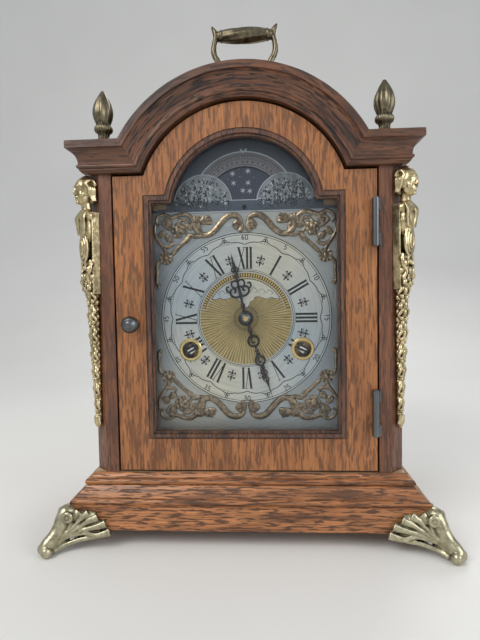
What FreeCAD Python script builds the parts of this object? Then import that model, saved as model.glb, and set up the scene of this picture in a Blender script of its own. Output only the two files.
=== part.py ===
import FreeCAD, Part

import math
import os

# Bracket clock with a break-arch front, in millimetres.
# X runs to the right, Y to the back, Z up. The table is Z = 0; the origin is the middle of the foot print.

# ---- driving dimensions: case ------------------------------------------------------------------
body_width = 192.0
body_depth = 118.0
base_foot_gap = 11.2          # table to the underside of the base
base_height = 31.5
base_overhang = 12.5          # front and sides; the back of the base is flush with the body
base_fascia = 14.6            # plain lower face of the base
base_rail = 12.0
base_board = 8.0
shoulder_height = 245.0       # top of the flat shoulders
crown_height = 18.0
crown_overhang = 8.4
spring_drop = 42.0            # shoulders above the height from which every front arch is struck
arch_radius = 84.0            # outer edge of the crown moulding
head_proud = 2.0              # head board stands this far in front of the posts
head_step = 2.0               # head board stays this far under the moulding
frame_depth = 17.0            # depth of the posts and of the head board behind the front plane
side_wall = 8.0
corner_cant = 8.0
roof_inset = 4.0              # roof under the outer edge of the crown moulding
roof_wall = 5.0
shoulder_board = 6.0
dial_frame_board = 8.0
back_frame_board = 10.0

# ---- driving dimensions: front door ------------------------------------------------------------
door_width = 158.5
door_thickness = 14.0
door_side_gap = 1.2
door_bottom_gap = 1.3
door_arch_gap = 1.8
bead_half_width = 61.0        # outside of the glazing bead
bead_bottom = 63.5
bead_shoulder_rise = 10.6     # shoulders of the window above the arch center
bead_radius = 49.0
bead_width = 4.7
bead_proud = 0.8
bead_depth = 5.0
glass_thickness = 2.0
retainer_depth = 3.0
retainer_width = 1.8
knob_radius = 5.2
knob_x = -69.0
knob_height = 135.4
hinge_length = 27.3
hinge_low = 37.3              # lower hinge above the base
hinge_high = 51.2             # upper hinge below the shoulders
hinge_barrel = 2.2
hinge_pin = 0.9
hinge_leaf = 1.0
hinge_x = 77.9
hinge_proud = 2.6
hinge_depth = 11.0
hinge_split = 0.3             # between the two leaves
catch_depth = 3.0

# ---- driving dimensions: rear door -------------------------------------------------------------
rear_half_width = 66.0
rear_bottom = 58.0
rear_shoulder_rise = 2.0
rear_radius = 58.0
rear_gap = 1.0
rear_thickness = 8.0
rear_knob_radius = 5.0
rear_hinge_inset = 2.5
rear_hinge_spread = 47.5      # from the middle of the door to each hinge
rear_knob_inset = 12.0

# ---- driving dimensions: dial ------------------------------------------------------------------
dial_drop = 65.8              # hands below the arch center
dial_half_width = 60.0
dial_below = 75.2             # dial plate below the hands
dial_shoulder_rise = 4.0
dial_radius = 50.0
dial_sheet = 1.2
dial_lap = 5.0                # dial plate over the edge of its frame
chapter_outer = 54.7
chapter_inner = 29.3
chapter_sheet = 1.0
winding_offset_x = 35.8
winding_drop = 19.8
collet_outer = 7.3
collet_inner = 5.4
collet_tube = 6.2
ornament_sheet = 1.6
ornament_stroke = 2.2
moon_rise = 71.4              # moon pivot above the hands' arbor
moon_radius = 35.0
moon_aperture = 33.0
hump_radius = 18.6
hump_offset = 26.2
hump_rise = 1.5
aperture_foot = 3.6           # lower edge of the moon opening above its pivot
moon_sheet = 0.8
moon_gap = 0.7                # dial plate to the moon disc
moon_stud = 1.2

# ---- driving dimensions: hands -----------------------------------------------------------------
minute_length = 56.5
hour_length = 42.5
minute_angle = 162.0          # clockwise from twelve
hour_angle = 348.0
hand_sheet = 0.8
hand_gap = 1.0
hand_hub = 4.8
hour_pipe = 3.3
cannon_pipe = 2.3
center_arbor = 1.5

# ---- driving dimensions: movement --------------------------------------------------------------
plate_half_width = 60.0
plate_below = 46.0
plate_above = 62.0
plate_sheet = 2.0
plate_spacing = 30.0
motion_space = 12.0           # back of the dial plate to the front movement plate
gear_module = 0.6
mesh_slack = 0.12
great_teeth = 72
drum_radius = 16.5
drum_length = 22.0
second_pinion_teeth = 12
second_teeth = 52
center_pinion_teeth = 10
center_teeth = 50
third_pinion_teeth = 8
third_teeth = 45
escape_pinion_teeth = 8
escape_radius = 8.0
escape_teeth = 15
balance_radius = 8.8
cannon_teeth = 12
minute_wheel_teeth = 36
minute_pinion_teeth = 10
hour_teeth = 40
pin_wheel_pinion_teeth = 12
pin_wheel_teeth = 45
warning_pinion_teeth = 9
warning_teeth = 40
fly_pinion_teeth = 10
arbor_radius = 1.2
winding_arbor = 2.6
winding_square = 4.2
pivot_radius = 0.7
lever_reach = 10.0
balance_reach = 20.5
bell_stand = 2.5
bell_x = 4.0
bell_z = 8.0
hammer_x = -31.2
hammer_z = -16.0
hammer_arm = 26.0

# ---- driving dimensions: handle, finials, mounts, feet -----------------------------------------
handle_half_width = 23.9      # outermost bulge of the legs
handle_leg_x = 14.0           # inner face of the legs at the pivot
handle_leg = 4.2
handle_leg_depth = 6.0
handle_rise = 5.5             # pivot above the crown of the roof
handle_length = 46.5          # pivot to the middle of the grip
handle_pin = 1.5
handle_foot = 3.4             # leg below the pivot
grip_radius = 5.5
grip_end = 3.6
finial_x = 83.5
finial_height = 31.0
figure_length = 157.7         # from the tip of the drop to the top of the hair
figure_clear = 0.3
figure_drop = ((1.6, 2.0), (3.4, 7.0), (2.4, 11.0), (4.4, 18.0), (3.0, 24.0), (5.2, 32.0), (3.6, 39.0),
               (5.6, 48.0), (4.0, 55.0), (6.0, 65.0), (4.4, 73.0), (5.8, 79.0), (4.8, 84.0))
herm_foot = 99.0              # lower end of the plain shaft above the tip of the drop
herm_top = 131.0
herm_half = 7.0
herm_depth = 7.3
bust_out = 5.0                # middle of the shoulders in front of the cant
head_out = 7.2
head_radius = 6.0
foot_width = 14.0
foot_boss = 0.8               # rolls and eyes stand out of the sides of the foot
toe_roll = 3.9
volute_roll = 4.8
volute_eye = 1.5
fan_depth = 3.2
fan_groove = 0.9
foot_reach = 12.6             # how far the toe stands out from the corner of the base, along X and along Y

# ---- fits --------------------------------------------------------------------------------------
running = 0.06                # radial clearance of a turning shaft
seat = 0.3                    # clearance between curved faces of different bodies
glass_fit = 0.3
mitre_run = 60.0              # side runs of a moulding start this far in front of the mitre

# ---- places worked out from the sizes above ----------------------------------------------------
half_width = body_width / 2
arch_center = shoulder_height - spring_drop
roof_radius = arch_radius - roof_inset
dial_center = arch_center - dial_drop
dial_bottom = dial_center - dial_below
dial_shoulder = arch_center + dial_shoulder_rise
bead_shoulder = arch_center + bead_shoulder_rise
rear_shoulder = arch_center + rear_shoulder_rise
base_depth = base_overhang + body_depth
front_y = -base_depth / 2 + base_overhang
back_y = base_depth / 2
base_top = base_foot_gap + base_height
crown_bottom = shoulder_height - crown_height
crown_y = front_y - head_proud
arch_inner = arch_radius - crown_height
frame_back = front_y + frame_depth
door_half = door_width / 2
post_inner = door_half + door_side_gap
door_bottom = base_top + door_bottom_gap
board_underside = shoulder_height - shoulder_board
hinge_heights = (base_top + hinge_low, shoulder_height - hinge_high)
rear_middle = (rear_bottom + rear_shoulder) / 2
rear_hinge_heights = (rear_middle - rear_hinge_spread, rear_middle + rear_hinge_spread)
figure_bottom = crown_bottom - figure_clear - figure_length
back_frame_y = back_y - back_frame_board
dial_frame_back = frame_back + dial_frame_board
dial_back = frame_back
dial_front = dial_back - dial_sheet
chapter_front = dial_front - chapter_sheet
moon_center = dial_center + moon_rise
plate_front = dial_back + motion_space
gap_front = plate_front + plate_sheet
gap_back = gap_front + plate_spacing
plate_back = gap_back + plate_sheet
winding_z = dial_center - winding_drop
handle_y = (front_y + back_y) / 2
axis_y = FreeCAD.Vector(0, 1, 0)
axis_z = FreeCAD.Vector(0, 0, 1)
big = 600.0


def vec(x, y, z):
    return FreeCAD.Vector(x, y, z)


def box(x0, x1, y0, y1, z0, z1):
    return Part.makeBox(x1 - x0, y1 - y0, z1 - z0, vec(x0, y0, z0))


def rod_x(radius, x0, x1, y, z):
    return Part.makeCylinder(radius, x1 - x0, vec(x0, y, z), vec(1, 0, 0))


def rod_y(radius, y0, y1, x, z):
    return Part.makeCylinder(radius, y1 - y0, vec(x, y0, z), axis_y)


def rod_z(radius, z0, z1, x, y):
    return Part.makeCylinder(radius, z1 - z0, vec(x, y, z0), axis_z)


def fuse(shapes):
    whole = shapes[0]
    if len(shapes) > 1:
        whole = whole.multiFuse(shapes[1:])
    return whole.removeSplitter()


def half_space(point, normal):
    """Everything on the side of the plane to which the normal points."""
    block = Part.makeBox(big, big, big, vec(-big / 2, -big / 2, 0))
    block.Placement = FreeCAD.Placement(point, FreeCAD.Rotation(axis_z, normal))
    return block


def outline(start, steps, place):
    """Closed wire from a start point and steps: (end,) is a line and (middle, end) is an arc."""
    edges = []
    last = start
    for step in steps + [(start,)]:
        end = step[-1]
        if math.dist(last, end) < 1e-6:
            continue
        if len(step) == 1:
            edges.append(Part.LineSegment(place(*last), place(*end)).toShape())
        else:
            edges.append(Part.Arc(place(*last), place(*step[0]), place(*end)).toShape())
        last = end
    return Part.Wire(edges)


def front_view(x, z):
    return vec(x, 0, z)


def slab(wire, y0, y1):
    """A wire drawn in the front view, made into a plate from y0 to y1."""
    face = Part.Face(wire)
    face.translate(vec(0, y0, 0))
    return face.extrude(vec(0, y1 - y0, 0))


def turned(profile, x, y, z):
    """A solid of revolution about a vertical axis; the profile holds radius and height."""
    wire = outline(profile[0], profile[1:], lambda r, h: vec(x + r, y, z + h))
    return Part.Face(wire).revolve(vec(x, y, z), axis_z, 360)


def turned_y(profile, x, y, z):
    """A solid of revolution about an axis along Y; the profile holds radius and depth."""
    wire = outline(profile[0], profile[1:], lambda r, d: vec(x + r, y + d, z))
    return Part.Face(wire).revolve(vec(x, y, z), axis_y, 360)


def arched(half, bottom, shoulder, radius, y0, y1):
    """Plate with square shoulders and a round arch on top."""
    foot = math.sqrt(radius ** 2 - (shoulder - arch_center) ** 2)
    wire = outline(
        (-half, bottom),
        [((half, bottom),), ((half, shoulder),), ((foot, shoulder),),
         ((0, arch_center + radius), (-foot, shoulder)), ((-half, shoulder),)],
        front_view,
    )
    return slab(wire, y0, y1)


def polar(radius, degrees, center=(0.0, 0.0)):
    """Point in the front view; the angle is clockwise from twelve o'clock."""
    turn = math.radians(degrees)
    return (center[0] + radius * math.sin(turn), center[1] + radius * math.cos(turn))


# ---- base --------------------------------------------------------------------------------------
def base_profile():
    """Outward reach and height of the base moulding, from its lower back corner."""
    reach = base_overhang
    return [
        (0, 0), ((reach, 0),), ((reach, base_fascia),), ((reach - 1.0, base_fascia + 0.5),),
        ((reach - 0.6, base_fascia + 2.1), (reach - 1.6, base_fascia + 3.6)),
        ((reach - 3.0, base_fascia + 4.0),),
        ((reach - 5.6, base_fascia + 6.6), (reach - 8.2, base_fascia + 10.0)),
        ((reach - 9.0, base_fascia + 10.2),),
        ((reach - 7.7, base_fascia + 12.0), (reach - 9.2, base_fascia + 13.8)),
        ((reach - 10.4, base_fascia + 14.2),),
        ((reach - 11.2, base_fascia + 15.2), (reach - 11.8, base_height)), ((0, base_height),),
    ]


def moulding(profile, front_line, side_line, height):
    """Front, left and right runs of a moulding, mitred at the two front corners."""
    corner = vec(side_line, front_line, height)
    front = Part.Face(outline(profile[0], profile[1:], lambda p,
                              h: vec(-big / 2, front_line - p, height + h)))
    front = front.extrude(vec(big, 0, 0))
    mirror_corner = vec(-side_line, front_line, height)
    front = front.cut(half_space(corner, vec(1, 1, 0))).cut(half_space(mirror_corner, vec(-1, 1, 0)))
    sides = []
    for side in (-1, 1):
        face = Part.Face(outline(profile[0], profile[1:],
                                 lambda p, h: vec(side * (side_line + p), front_line - mitre_run,
                                                  height + h)))
        run = face.extrude(vec(0, back_y - front_line + mitre_run, 0))
        sides.append(run.cut(half_space(vec(side * side_line, front_line, height), vec(-side, -1, 0))))
    return front, sides[0], sides[1]


def make_base():
    front, left, right = moulding(base_profile(), front_y, half_width, base_foot_gap)
    rails_top = base_top - base_board
    rails = box(-half_width, half_width, front_y, back_y, base_foot_gap, rails_top)
    rails = rails.cut(box(-half_width + base_rail, half_width - base_rail, front_y + base_rail,
                          back_y - base_rail, base_foot_gap - 1, rails_top + 1))
    board = box(-half_width, half_width, front_y, back_y, rails_top, base_top)
    return {"base_moulding_front": front, "base_moulding_sides": Part.Compound([left, right]),
            "base_rails": rails, "base_board": board}


# ---- crown moulding ----------------------------------------------------------------------------
def crown_profile():
    reach = crown_overhang
    top = crown_height
    return [
        (0, 0), ((0.7, 0),), ((2.2, 1.5),), ((2.2, 2.4),),
        ((3.5, 3.5), (2.6, 4.8)),
        ((4.0, 10.0), (reach - 1.2, top - 4.9)), ((reach, top - 4.6),), ((reach, top - 0.9),),
        ((reach - 0.3, top - 0.3), (reach - 0.9, top)), ((0, top),),
    ]


def make_crown():
    profile = crown_profile()
    front, left, right = moulding(profile, crown_y, half_width, crown_bottom)
    inner = math.sqrt(arch_inner ** 2 - (crown_bottom - arch_center) ** 2)
    outer = math.sqrt(arch_radius ** 2 - (shoulder_height - arch_center) ** 2)
    section = Part.Face(outline(profile[0], profile[1:],
                                lambda p, h: vec(0, crown_y - p, arch_center + arch_inner + h)))
    sweep = 75.0
    center = vec(0, 0, arch_center)
    section.rotate(center, axis_y, -sweep)
    arch = section.revolve(center, axis_y, 2 * sweep)
    returns = []
    for side, run in ((-1, left), (1, right)):
        point = vec(side * inner, 0, crown_bottom)
        normal = vec(side * crown_height, 0, -(outer - inner))
        arch = arch.cut(half_space(point, normal))
        shoulder = front.common(half_space(point, normal)).common(half_space(vec(0, 0, 0), vec(side, 0, 0)))
        returns.append(fuse([shoulder, run]))
    return {"crown_arch": arch, "crown_returns": Part.Compound(returns)}


# ---- hinges ------------------------------------------------------------------------------------
def hinge(face_y, out, axis_x, fixed_x, side, height):
    """Case leaf, door leaf and pin of a three-knuckle butt hinge.

    out is the Y direction out of the door's face; side is the X direction from the door to the case.
    """
    low = height - hinge_length / 2
    quarter = hinge_length / 4
    spans = {
        True: ((low, low + quarter), (low + 3 * quarter, low + hinge_length)),
        False: ((low + quarter + running, low + 3 * quarter - running),),
    }
    barrel_y = face_y + out * hinge_proud
    bore = rod_z(hinge_pin + running, low - 1, low + hinge_length + 1, axis_x, barrel_y)
    leaves = []
    for fixed in (True, False):
        near = fixed_x if fixed else fixed_x - side * hinge_split
        far = near + side * hinge_leaf if fixed else near - side * hinge_leaf
        x0, x1 = sorted((near, far))
        y0, y1 = sorted((face_y - out * hinge_split, face_y - out * hinge_depth))
        parts = [box(x0, x1, y0, y1, low, low + hinge_length)]
        for z0, z1 in spans[fixed]:
            y0, y1 = sorted((barrel_y - out * hinge_leaf / 2, face_y - out))
            parts.append(box(x0, x1, y0, y1, z0, z1))
            parts.append(rod_z(hinge_barrel, z0, z1, axis_x, barrel_y))
            w0, w1 = sorted((axis_x, far))
            parts.append(box(w0, w1, barrel_y - hinge_leaf / 2, barrel_y + hinge_leaf / 2, z0, z1))
        leaves.append(fuse(parts).cut(bore))
    head = 0.6
    pin = fuse([rod_z(hinge_pin, low - head, low + hinge_length + head, axis_x, barrel_y),
                rod_z(hinge_barrel - 0.5, low - head, low, axis_x, barrel_y),
                rod_z(hinge_barrel - 0.5, low + hinge_length, low + hinge_length + head, axis_x, barrel_y)])
    return leaves[0], leaves[1], pin


def hinge_set(face_y, out, axis_x, fixed_x, side, heights):
    rows = [hinge(face_y, out, axis_x, fixed_x, side, height) for height in heights]
    return [Part.Compound([row[i] for row in rows]) for i in range(3)]


def front_hinges():
    return hinge_set(front_y, -1, hinge_x, post_inner - hinge_leaf / 2, 1, hinge_heights)


def rear_hinges():
    return hinge_set(back_y, 1, rear_half_width - rear_hinge_inset, rear_half_width - hinge_leaf / 2, 1,
                     rear_hinge_heights)


def door_catch():
    return box(-post_inner - catch_depth, -post_inner, front_y + 4, front_y + 11, knob_height - 8,
               knob_height + 8)


# ---- case --------------------------------------------------------------------------------------
def mirrored(shape):
    return shape.mirror(vec(0, 0, 0), vec(1, 0, 0))


def both_sides(shape):
    return Part.Compound([mirrored(shape), shape])


def make_case():
    wire = outline(
        (post_inner, front_y),
        [((half_width - corner_cant, front_y),), ((half_width, front_y + corner_cant),),
         ((half_width, frame_back),), ((post_inner, frame_back),)],
        lambda x, y: vec(x, y, base_top),
    )
    post = Part.Face(wire).extrude(vec(0, 0, crown_bottom - base_top))
    panel = box(half_width - side_wall, half_width, frame_back, back_frame_y, base_top, board_underside)
    roof_outside = rod_y(roof_radius, frame_back, back_frame_y, 0, arch_center)
    board = box(0, half_width, frame_back, back_frame_y, board_underside, shoulder_height).cut(roof_outside)
    head = arched(half_width, crown_bottom, shoulder_height, arch_radius - head_step, crown_y, frame_back)
    head = head.cut(rod_y(arch_inner, crown_y - 1, frame_back + 1, 0, arch_center))
    roof = roof_outside.cut(rod_y(roof_radius - roof_wall, frame_back - 1, back_y, 0, arch_center))
    frame = arched(half_width, base_top, shoulder_height, roof_radius, back_frame_y, back_y)
    frame = frame.cut(arched(rear_half_width, rear_bottom, rear_shoulder, rear_radius, back_frame_y - 1,
                             back_y + 1))
    inner_half = half_width - side_wall
    dial_board = arched(inner_half, base_top, board_underside, roof_radius - roof_wall, frame_back,
                        dial_frame_back)
    opening = arched(dial_half_width - dial_lap, dial_bottom + dial_lap, dial_shoulder,
                     dial_radius - dial_lap,
                     frame_back - 1, dial_frame_back + 1)
    posts = Part.Compound([mirrored(post).cut(door_catch()), post.cut(front_hinges()[0])])
    return {"corner_posts": posts, "side_panels": both_sides(panel), "shoulder_boards": both_sides(board),
            "head_board": head, "barrel_roof": roof.cut(half_space(vec(0, 0, board_underside),
                                                                   vec(0, 0, -1))),
            "back_frame": frame.cut(rear_hinges()[0]), "dial_frame": dial_board.cut(opening)}


# ---- front door --------------------------------------------------------------------------------
def bead_outline(inset, y0, y1):
    """The shape of the door's window, drawn smaller by the inset."""
    return arched(bead_half_width - inset, bead_bottom + inset, bead_shoulder - inset, bead_radius - inset,
                  y0, y1)


def make_front_door():
    door_y1 = front_y + door_thickness
    frame = arched(door_half, door_bottom, crown_bottom - door_arch_gap, arch_inner - door_arch_gap,
                   front_y, door_y1)
    frame = frame.cut(bead_outline(0, front_y - 1, door_y1 + 1))
    bead_front = front_y - bead_proud
    step = bead_width * 0.3
    bead = bead_outline(0, bead_front + step, front_y + bead_depth)
    bead = bead.fuse(bead_outline(step, bead_front, bead_front + step))
    bead = bead.cut(bead_outline(bead_width, bead_front - 1, front_y + bead_depth + 1))
    bead = bead.cut(bead_outline(bead_width - step, bead_front - 1, bead_front + step)).removeSplitter()
    glass_y = front_y + bead_depth
    glass = bead_outline(glass_fit, glass_y, glass_y + glass_thickness)
    retainer_y = glass_y + glass_thickness
    retainer = bead_outline(0, retainer_y, retainer_y + retainer_depth)
    retainer = retainer.cut(bead_outline(retainer_width, retainer_y - 1, retainer_y + retainer_depth + 1))
    ball = front_y - knob_radius - 1.6
    knob = fuse([Part.makeSphere(knob_radius, vec(knob_x, ball, knob_height)),
                 rod_y(knob_radius * 0.4, ball, front_y, knob_x, knob_height),
                 rod_y(knob_radius * 0.6, front_y - 0.8, front_y, knob_x, knob_height)])
    fixed, moving, pins = front_hinges()
    frame = frame.cut(moving)
    return {"front_door_frame": frame, "glazing_bead": bead, "door_glass": glass,
            "glass_retainer": retainer,
            "door_knob": knob, "front_hinge_case_leaves": fixed, "front_hinge_door_leaves": moving,
            "front_hinge_pins": pins, "door_catch": door_catch()}


def make_rear_door():
    panel = arched(rear_half_width - rear_gap, rear_bottom + rear_gap, rear_shoulder - rear_gap,
                   rear_radius - rear_gap, back_y - rear_thickness, back_y)
    fixed, moving, pins = rear_hinges()
    knob_at = (-rear_half_width + rear_knob_inset, back_y, rear_middle)
    knob = turned_y([(0, 0), ((3.2, 0),), ((3.2, 1.0),), ((2.0, 2.0),), ((2.0, 4.0),),
                     ((rear_knob_radius, 7.5), (2.5, 11.0)), ((0, 11.6),)], *knob_at)
    return {"rear_door": panel.cut(moving), "rear_door_knob": knob, "rear_hinge_case_leaves": fixed,
            "rear_hinge_door_leaves": moving, "rear_hinge_pins": pins}


# ---- dial --------------------------------------------------------------------------------------
def stroke(u, v, radius, start, end):
    """Part of a ring about the point (u, v) from the hands; angles are clockwise from twelve."""
    half = ornament_stroke / 2
    middle = (start + end) / 2
    center = (u, dial_center + v)
    wire = outline(
        polar(radius + half, start, center),
        [(polar(radius + half, middle, center), polar(radius + half, end, center)),
         (polar(radius - half, end, center),),
         (polar(radius - half, middle, center), polar(radius - half, start, center))],
        front_view,
    )
    return slab(wire, dial_front - ornament_sheet, dial_front)


def boss(u, v, radius):
    return rod_y(radius, dial_front - ornament_sheet, dial_front, u, dial_center + v)


def ornament(drop):
    """Open scroll casting for the upper right corner; drop brings it nearer to the ring."""
    return fuse([
        stroke(7.2, 61.8 - drop, 4.4, -80, 200), boss(5.4, 60.8 - drop, 2.2),
                 stroke(17.4, 65.2 - drop, 7.4, 70, 250),
        stroke(31.5, 61.0 - drop, 6.6, -95, 150), boss(31.0, 60.0 - drop, 2.8),
                 stroke(40.5, 55.0 - drop, 5.0, 180, 330),
        stroke(45.5, 61.5 - drop, 6.0, -120, 120), boss(45.0, 55.5 - drop, 3.6),
                 stroke(52.4, 52.0, 5.2, -60, 170),
        boss(49.5, 47.5, 3.0), stroke(53.6, 39.5, 4.6, -40, 200), boss(52.0, 38.2, 2.0),
        stroke(47.5, 49.5, 5.0, 60, 200),
    ])


def make_dial():
    plate = arched(dial_half_width, dial_bottom, dial_shoulder, dial_radius, dial_front, dial_back)
    ring = rod_y(chapter_outer, chapter_front, dial_front, 0, dial_center)
    ring = ring.cut(rod_y(chapter_inner, chapter_front - 1, dial_front + 1, 0, dial_center))
    disc = rod_y(chapter_inner, chapter_front + 0.2, dial_front, 0, dial_center)
    hand_hole = rod_y(hour_pipe + seat, chapter_front - 1, dial_back + 1, 0, dial_center)
    holes = [rod_y(collet_tube, chapter_front - 1, dial_back + 1, side * winding_offset_x, winding_z)
             for side in (-1, 1)]
    collets = []
    for side in (-1, 1):
        collets.append(turned_y(
            [(collet_inner, -0.9), ((collet_outer - 0.5, -0.9),), ((collet_outer, -0.5),),
             ((collet_outer, 0),),
             ((collet_tube, 0),), ((collet_tube, chapter_sheet + dial_sheet),),
             ((collet_inner, chapter_sheet + dial_sheet),)],
            side * winding_offset_x, chapter_front, winding_z))
    window = rod_y(moon_aperture, dial_front - 1, dial_back + 1, 0, moon_center)
    window = window.common(half_space(vec(0, 0, moon_center + aperture_foot), axis_z))
    for side in (-1, 1):
        window = window.cut(rod_y(hump_radius, dial_front - 2, dial_back + 2, side * hump_offset,
                                  moon_center + hump_rise))
    moon_y = dial_back + moon_gap
    stud_end = moon_y + moon_sheet + 2.0
    stud = fuse([rod_y(moon_stud, dial_back, stud_end, 0, moon_center),
                 rod_y(moon_stud + 1.0, dial_back, moon_y - running, 0, moon_center),
                 rod_y(moon_stud + 1.0, moon_y + moon_sheet + running, stud_end, 0, moon_center)])
    moon = rod_y(moon_radius, moon_y, moon_y + moon_sheet, 0, moon_center)
    moon = moon.cut(rod_y(moon_stud + running, dial_back, stud_end, 0, moon_center))
    upper = ornament(0.0)
    lower = ornament(1.2).mirror(vec(0, 0, dial_center), axis_z)
    feet = [rod_y(2.0, dial_back, plate_front, x, dial_center + z) for x in (-50, 50) for z in (-38, 44)]
    plate = fuse([plate.cut(hand_hole).cut(Part.Compound(holes)).cut(window), stud] + feet)
    return {
        "dial_plate": plate, "chapter_ring": ring.cut(Part.Compound(holes)),
            "dial_center": disc.cut(hand_hole),
        "winding_collets": Part.Compound(collets), "moon_disc": moon,
        "corner_ornaments": Part.Compound([both_sides(upper), both_sides(lower)]),
    }


# ---- hands -------------------------------------------------------------------------------------
def loop(x, z, outer, inner, y0, y1):
    return rod_y(outer, y0, y1, x, z).cut(rod_y(inner, y0 - 1, y1 + 1, x, z))


def blade(points, y0, y1):
    """Symmetric pointed blade from half widths and heights above the arbor."""
    right = [((w, h),) for w, h in points[1:]]
    left = [((-w, h),) for w, h in reversed(points)]
    return slab(outline(points[0], right + left, front_view), y0, y1)


def place_hand(shape, angle):
    shape.rotate(vec(0, 0, 0), axis_y, angle)
    shape.translate(vec(0, 0, dial_center))
    return shape


def make_hands():
    hour_y1 = chapter_front - hand_gap
    hour_y0 = hour_y1 - hand_sheet
    minute_y1 = hour_y0 - hand_sheet
    minute_y0 = minute_y1 - hand_sheet
    reach = hour_length
    hour = fuse([
        rod_y(hand_hub, hour_y0, hour_y1, 0, 0),
        blade([(1.5, 0), (1.1, reach * 0.22), (1.7, reach * 0.3), (0.9, reach * 0.36), (0.9, reach * 0.6),
               (1.8, reach * 0.68), (1.0, reach * 0.78), (0.05, reach)], hour_y0, hour_y1),
        loop(-3.6, reach * 0.42, 3.3, 2.0, hour_y0, hour_y1),
                 loop(3.6, reach * 0.42, 3.3, 2.0, hour_y0, hour_y1),
        loop(-2.3, reach * 0.54, 2.0, 1.0, hour_y0, hour_y1),
                 loop(2.3, reach * 0.54, 2.0, 1.0, hour_y0, hour_y1),
        loop(-6.6, reach * 0.5, 1.8, 0.8, hour_y0, hour_y1),
                 loop(6.6, reach * 0.5, 1.8, 0.8, hour_y0, hour_y1),
    ]).cut(rod_y(hour_pipe, hour_y0 - 1, hour_y1 + 1, 0, 0))
    reach = minute_length
    minute = fuse([
        rod_y(hand_hub - 0.6, minute_y0, minute_y1, 0, 0),
        blade([(1.3, 0), (0.9, reach * 0.16), (1.4, reach * 0.2), (0.8, reach * 0.26), (0.8, reach * 0.42),
               (1.5, reach * 0.46), (0.9, reach * 0.54), (1.5, reach * 0.64), (0.7, reach * 0.74),
               (0.05, reach)],
              minute_y0, minute_y1),
        loop(2.9, reach * 0.27, 3.2, 2.0, minute_y0, minute_y1),
                   loop(-2.9, reach * 0.42, 3.0, 1.9, minute_y0, minute_y1),
        loop(2.0, reach * 0.53, 2.0, 1.0, minute_y0, minute_y1),
                   loop(-2.0, reach * 0.3, 1.7, 0.8, minute_y0, minute_y1),
    ]).cut(rod_y(center_arbor, minute_y0 - 1, minute_y1 + 1, 0, 0))
    nut = turned_y([(center_arbor, 0), ((2.9, 0),), ((2.9, -0.8),), ((2.2, -1.3), (center_arbor, -1.7))],
                   0, minute_y0, dial_center)
    return {"hour_hand": place_hand(hour, hour_angle), "minute_hand": place_hand(minute, minute_angle),
            "hand_nut": nut}


# ---- movement ----------------------------------------------------------------------------------
def reach(teeth, partner, module=gear_module):
    """Distance between two arbors in mesh."""
    return module * (teeth + partner) / 2 + mesh_slack


def step_from(start, distance, degrees):
    """Point at a distance from another; the angle is clockwise from twelve."""
    return polar(distance, degrees, start)


def meeting(a, ra, b, rb):
    """Upper crossing of two circles about a and b."""
    gap = math.dist(a, b)
    along = (ra ** 2 - rb ** 2 + gap ** 2) / (2 * gap)
    off = math.sqrt(ra ** 2 - along ** 2)
    ux, uz = (b[0] - a[0]) / gap, (b[1] - a[1]) / gap
    points = [(a[0] + ux * along - uz * s * off, a[1] + uz * along + ux * s * off) for s in (-1, 1)]
    return max(points, key=lambda p: p[1])


def gear(at, teeth, y0, y1, toward, valley, bore=0.0, module=gear_module):
    """Wheel with a tooth, or a valley, pointing at the partner's arbor."""
    pitch = 360.0 / teeth
    turn = math.degrees(math.atan2(toward[0] - at[0], toward[1] - at[1])) + (pitch / 2 if valley else 0)
    tip = module * (teeth + 2) / 2
    root = module * (teeth - 2.5) / 2
    points = []
    for i in range(teeth):
        points.append((polar(tip, turn + i * pitch, at),))
        points.append((polar(root, turn + (i + 0.5) * pitch, at),))
    wheel = slab(outline(points[0][0], points[1:], front_view), gap_front + y0, gap_front + y1)
    if bore:
        wheel = wheel.cut(rod_y(bore, gap_front + y0 - 1, gap_front + y1 + 1, *at))
    return wheel


def rod(at, radius, y0, y1):
    return rod_y(radius, gap_front + y0, gap_front + y1, *at)


def arbor(at):
    """Arbor with a thin pivot in each plate."""
    return [rod(at, arbor_radius, seat, plate_spacing - seat),
            rod(at, pivot_radius, -plate_sheet, plate_spacing + plate_sheet)]


def place_arbors():
    hub = (0.0, dial_center)
    going = (winding_offset_x, winding_z)
    strike = (-winding_offset_x, winding_z)
    second = meeting(going, reach(great_teeth, second_pinion_teeth), hub,
                     reach(second_teeth, center_pinion_teeth))
    third = step_from(hub, reach(center_teeth, third_pinion_teeth), 20)
    escape = step_from(third, reach(third_teeth, escape_pinion_teeth), -40)
    pin = step_from(strike, reach(great_teeth, pin_wheel_pinion_teeth), 11.5)
    warning = step_from(pin, reach(pin_wheel_teeth, warning_pinion_teeth), 9.8)
    fly = step_from(warning, reach(warning_teeth, fly_pinion_teeth), 30)
    motion = step_from(hub, reach(cannon_teeth, minute_wheel_teeth), 200)
    return {"hub": hub, "going": going, "strike": strike, "second": second, "third": third,
            "escape": escape,
            "lever": step_from(escape, lever_reach, 0), "balance": step_from(escape, balance_reach, 0),
            "pin": pin, "warning": warning, "fly": fly, "motion": motion,
            "hammer": (hammer_x, dial_center + hammer_z)}


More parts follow.
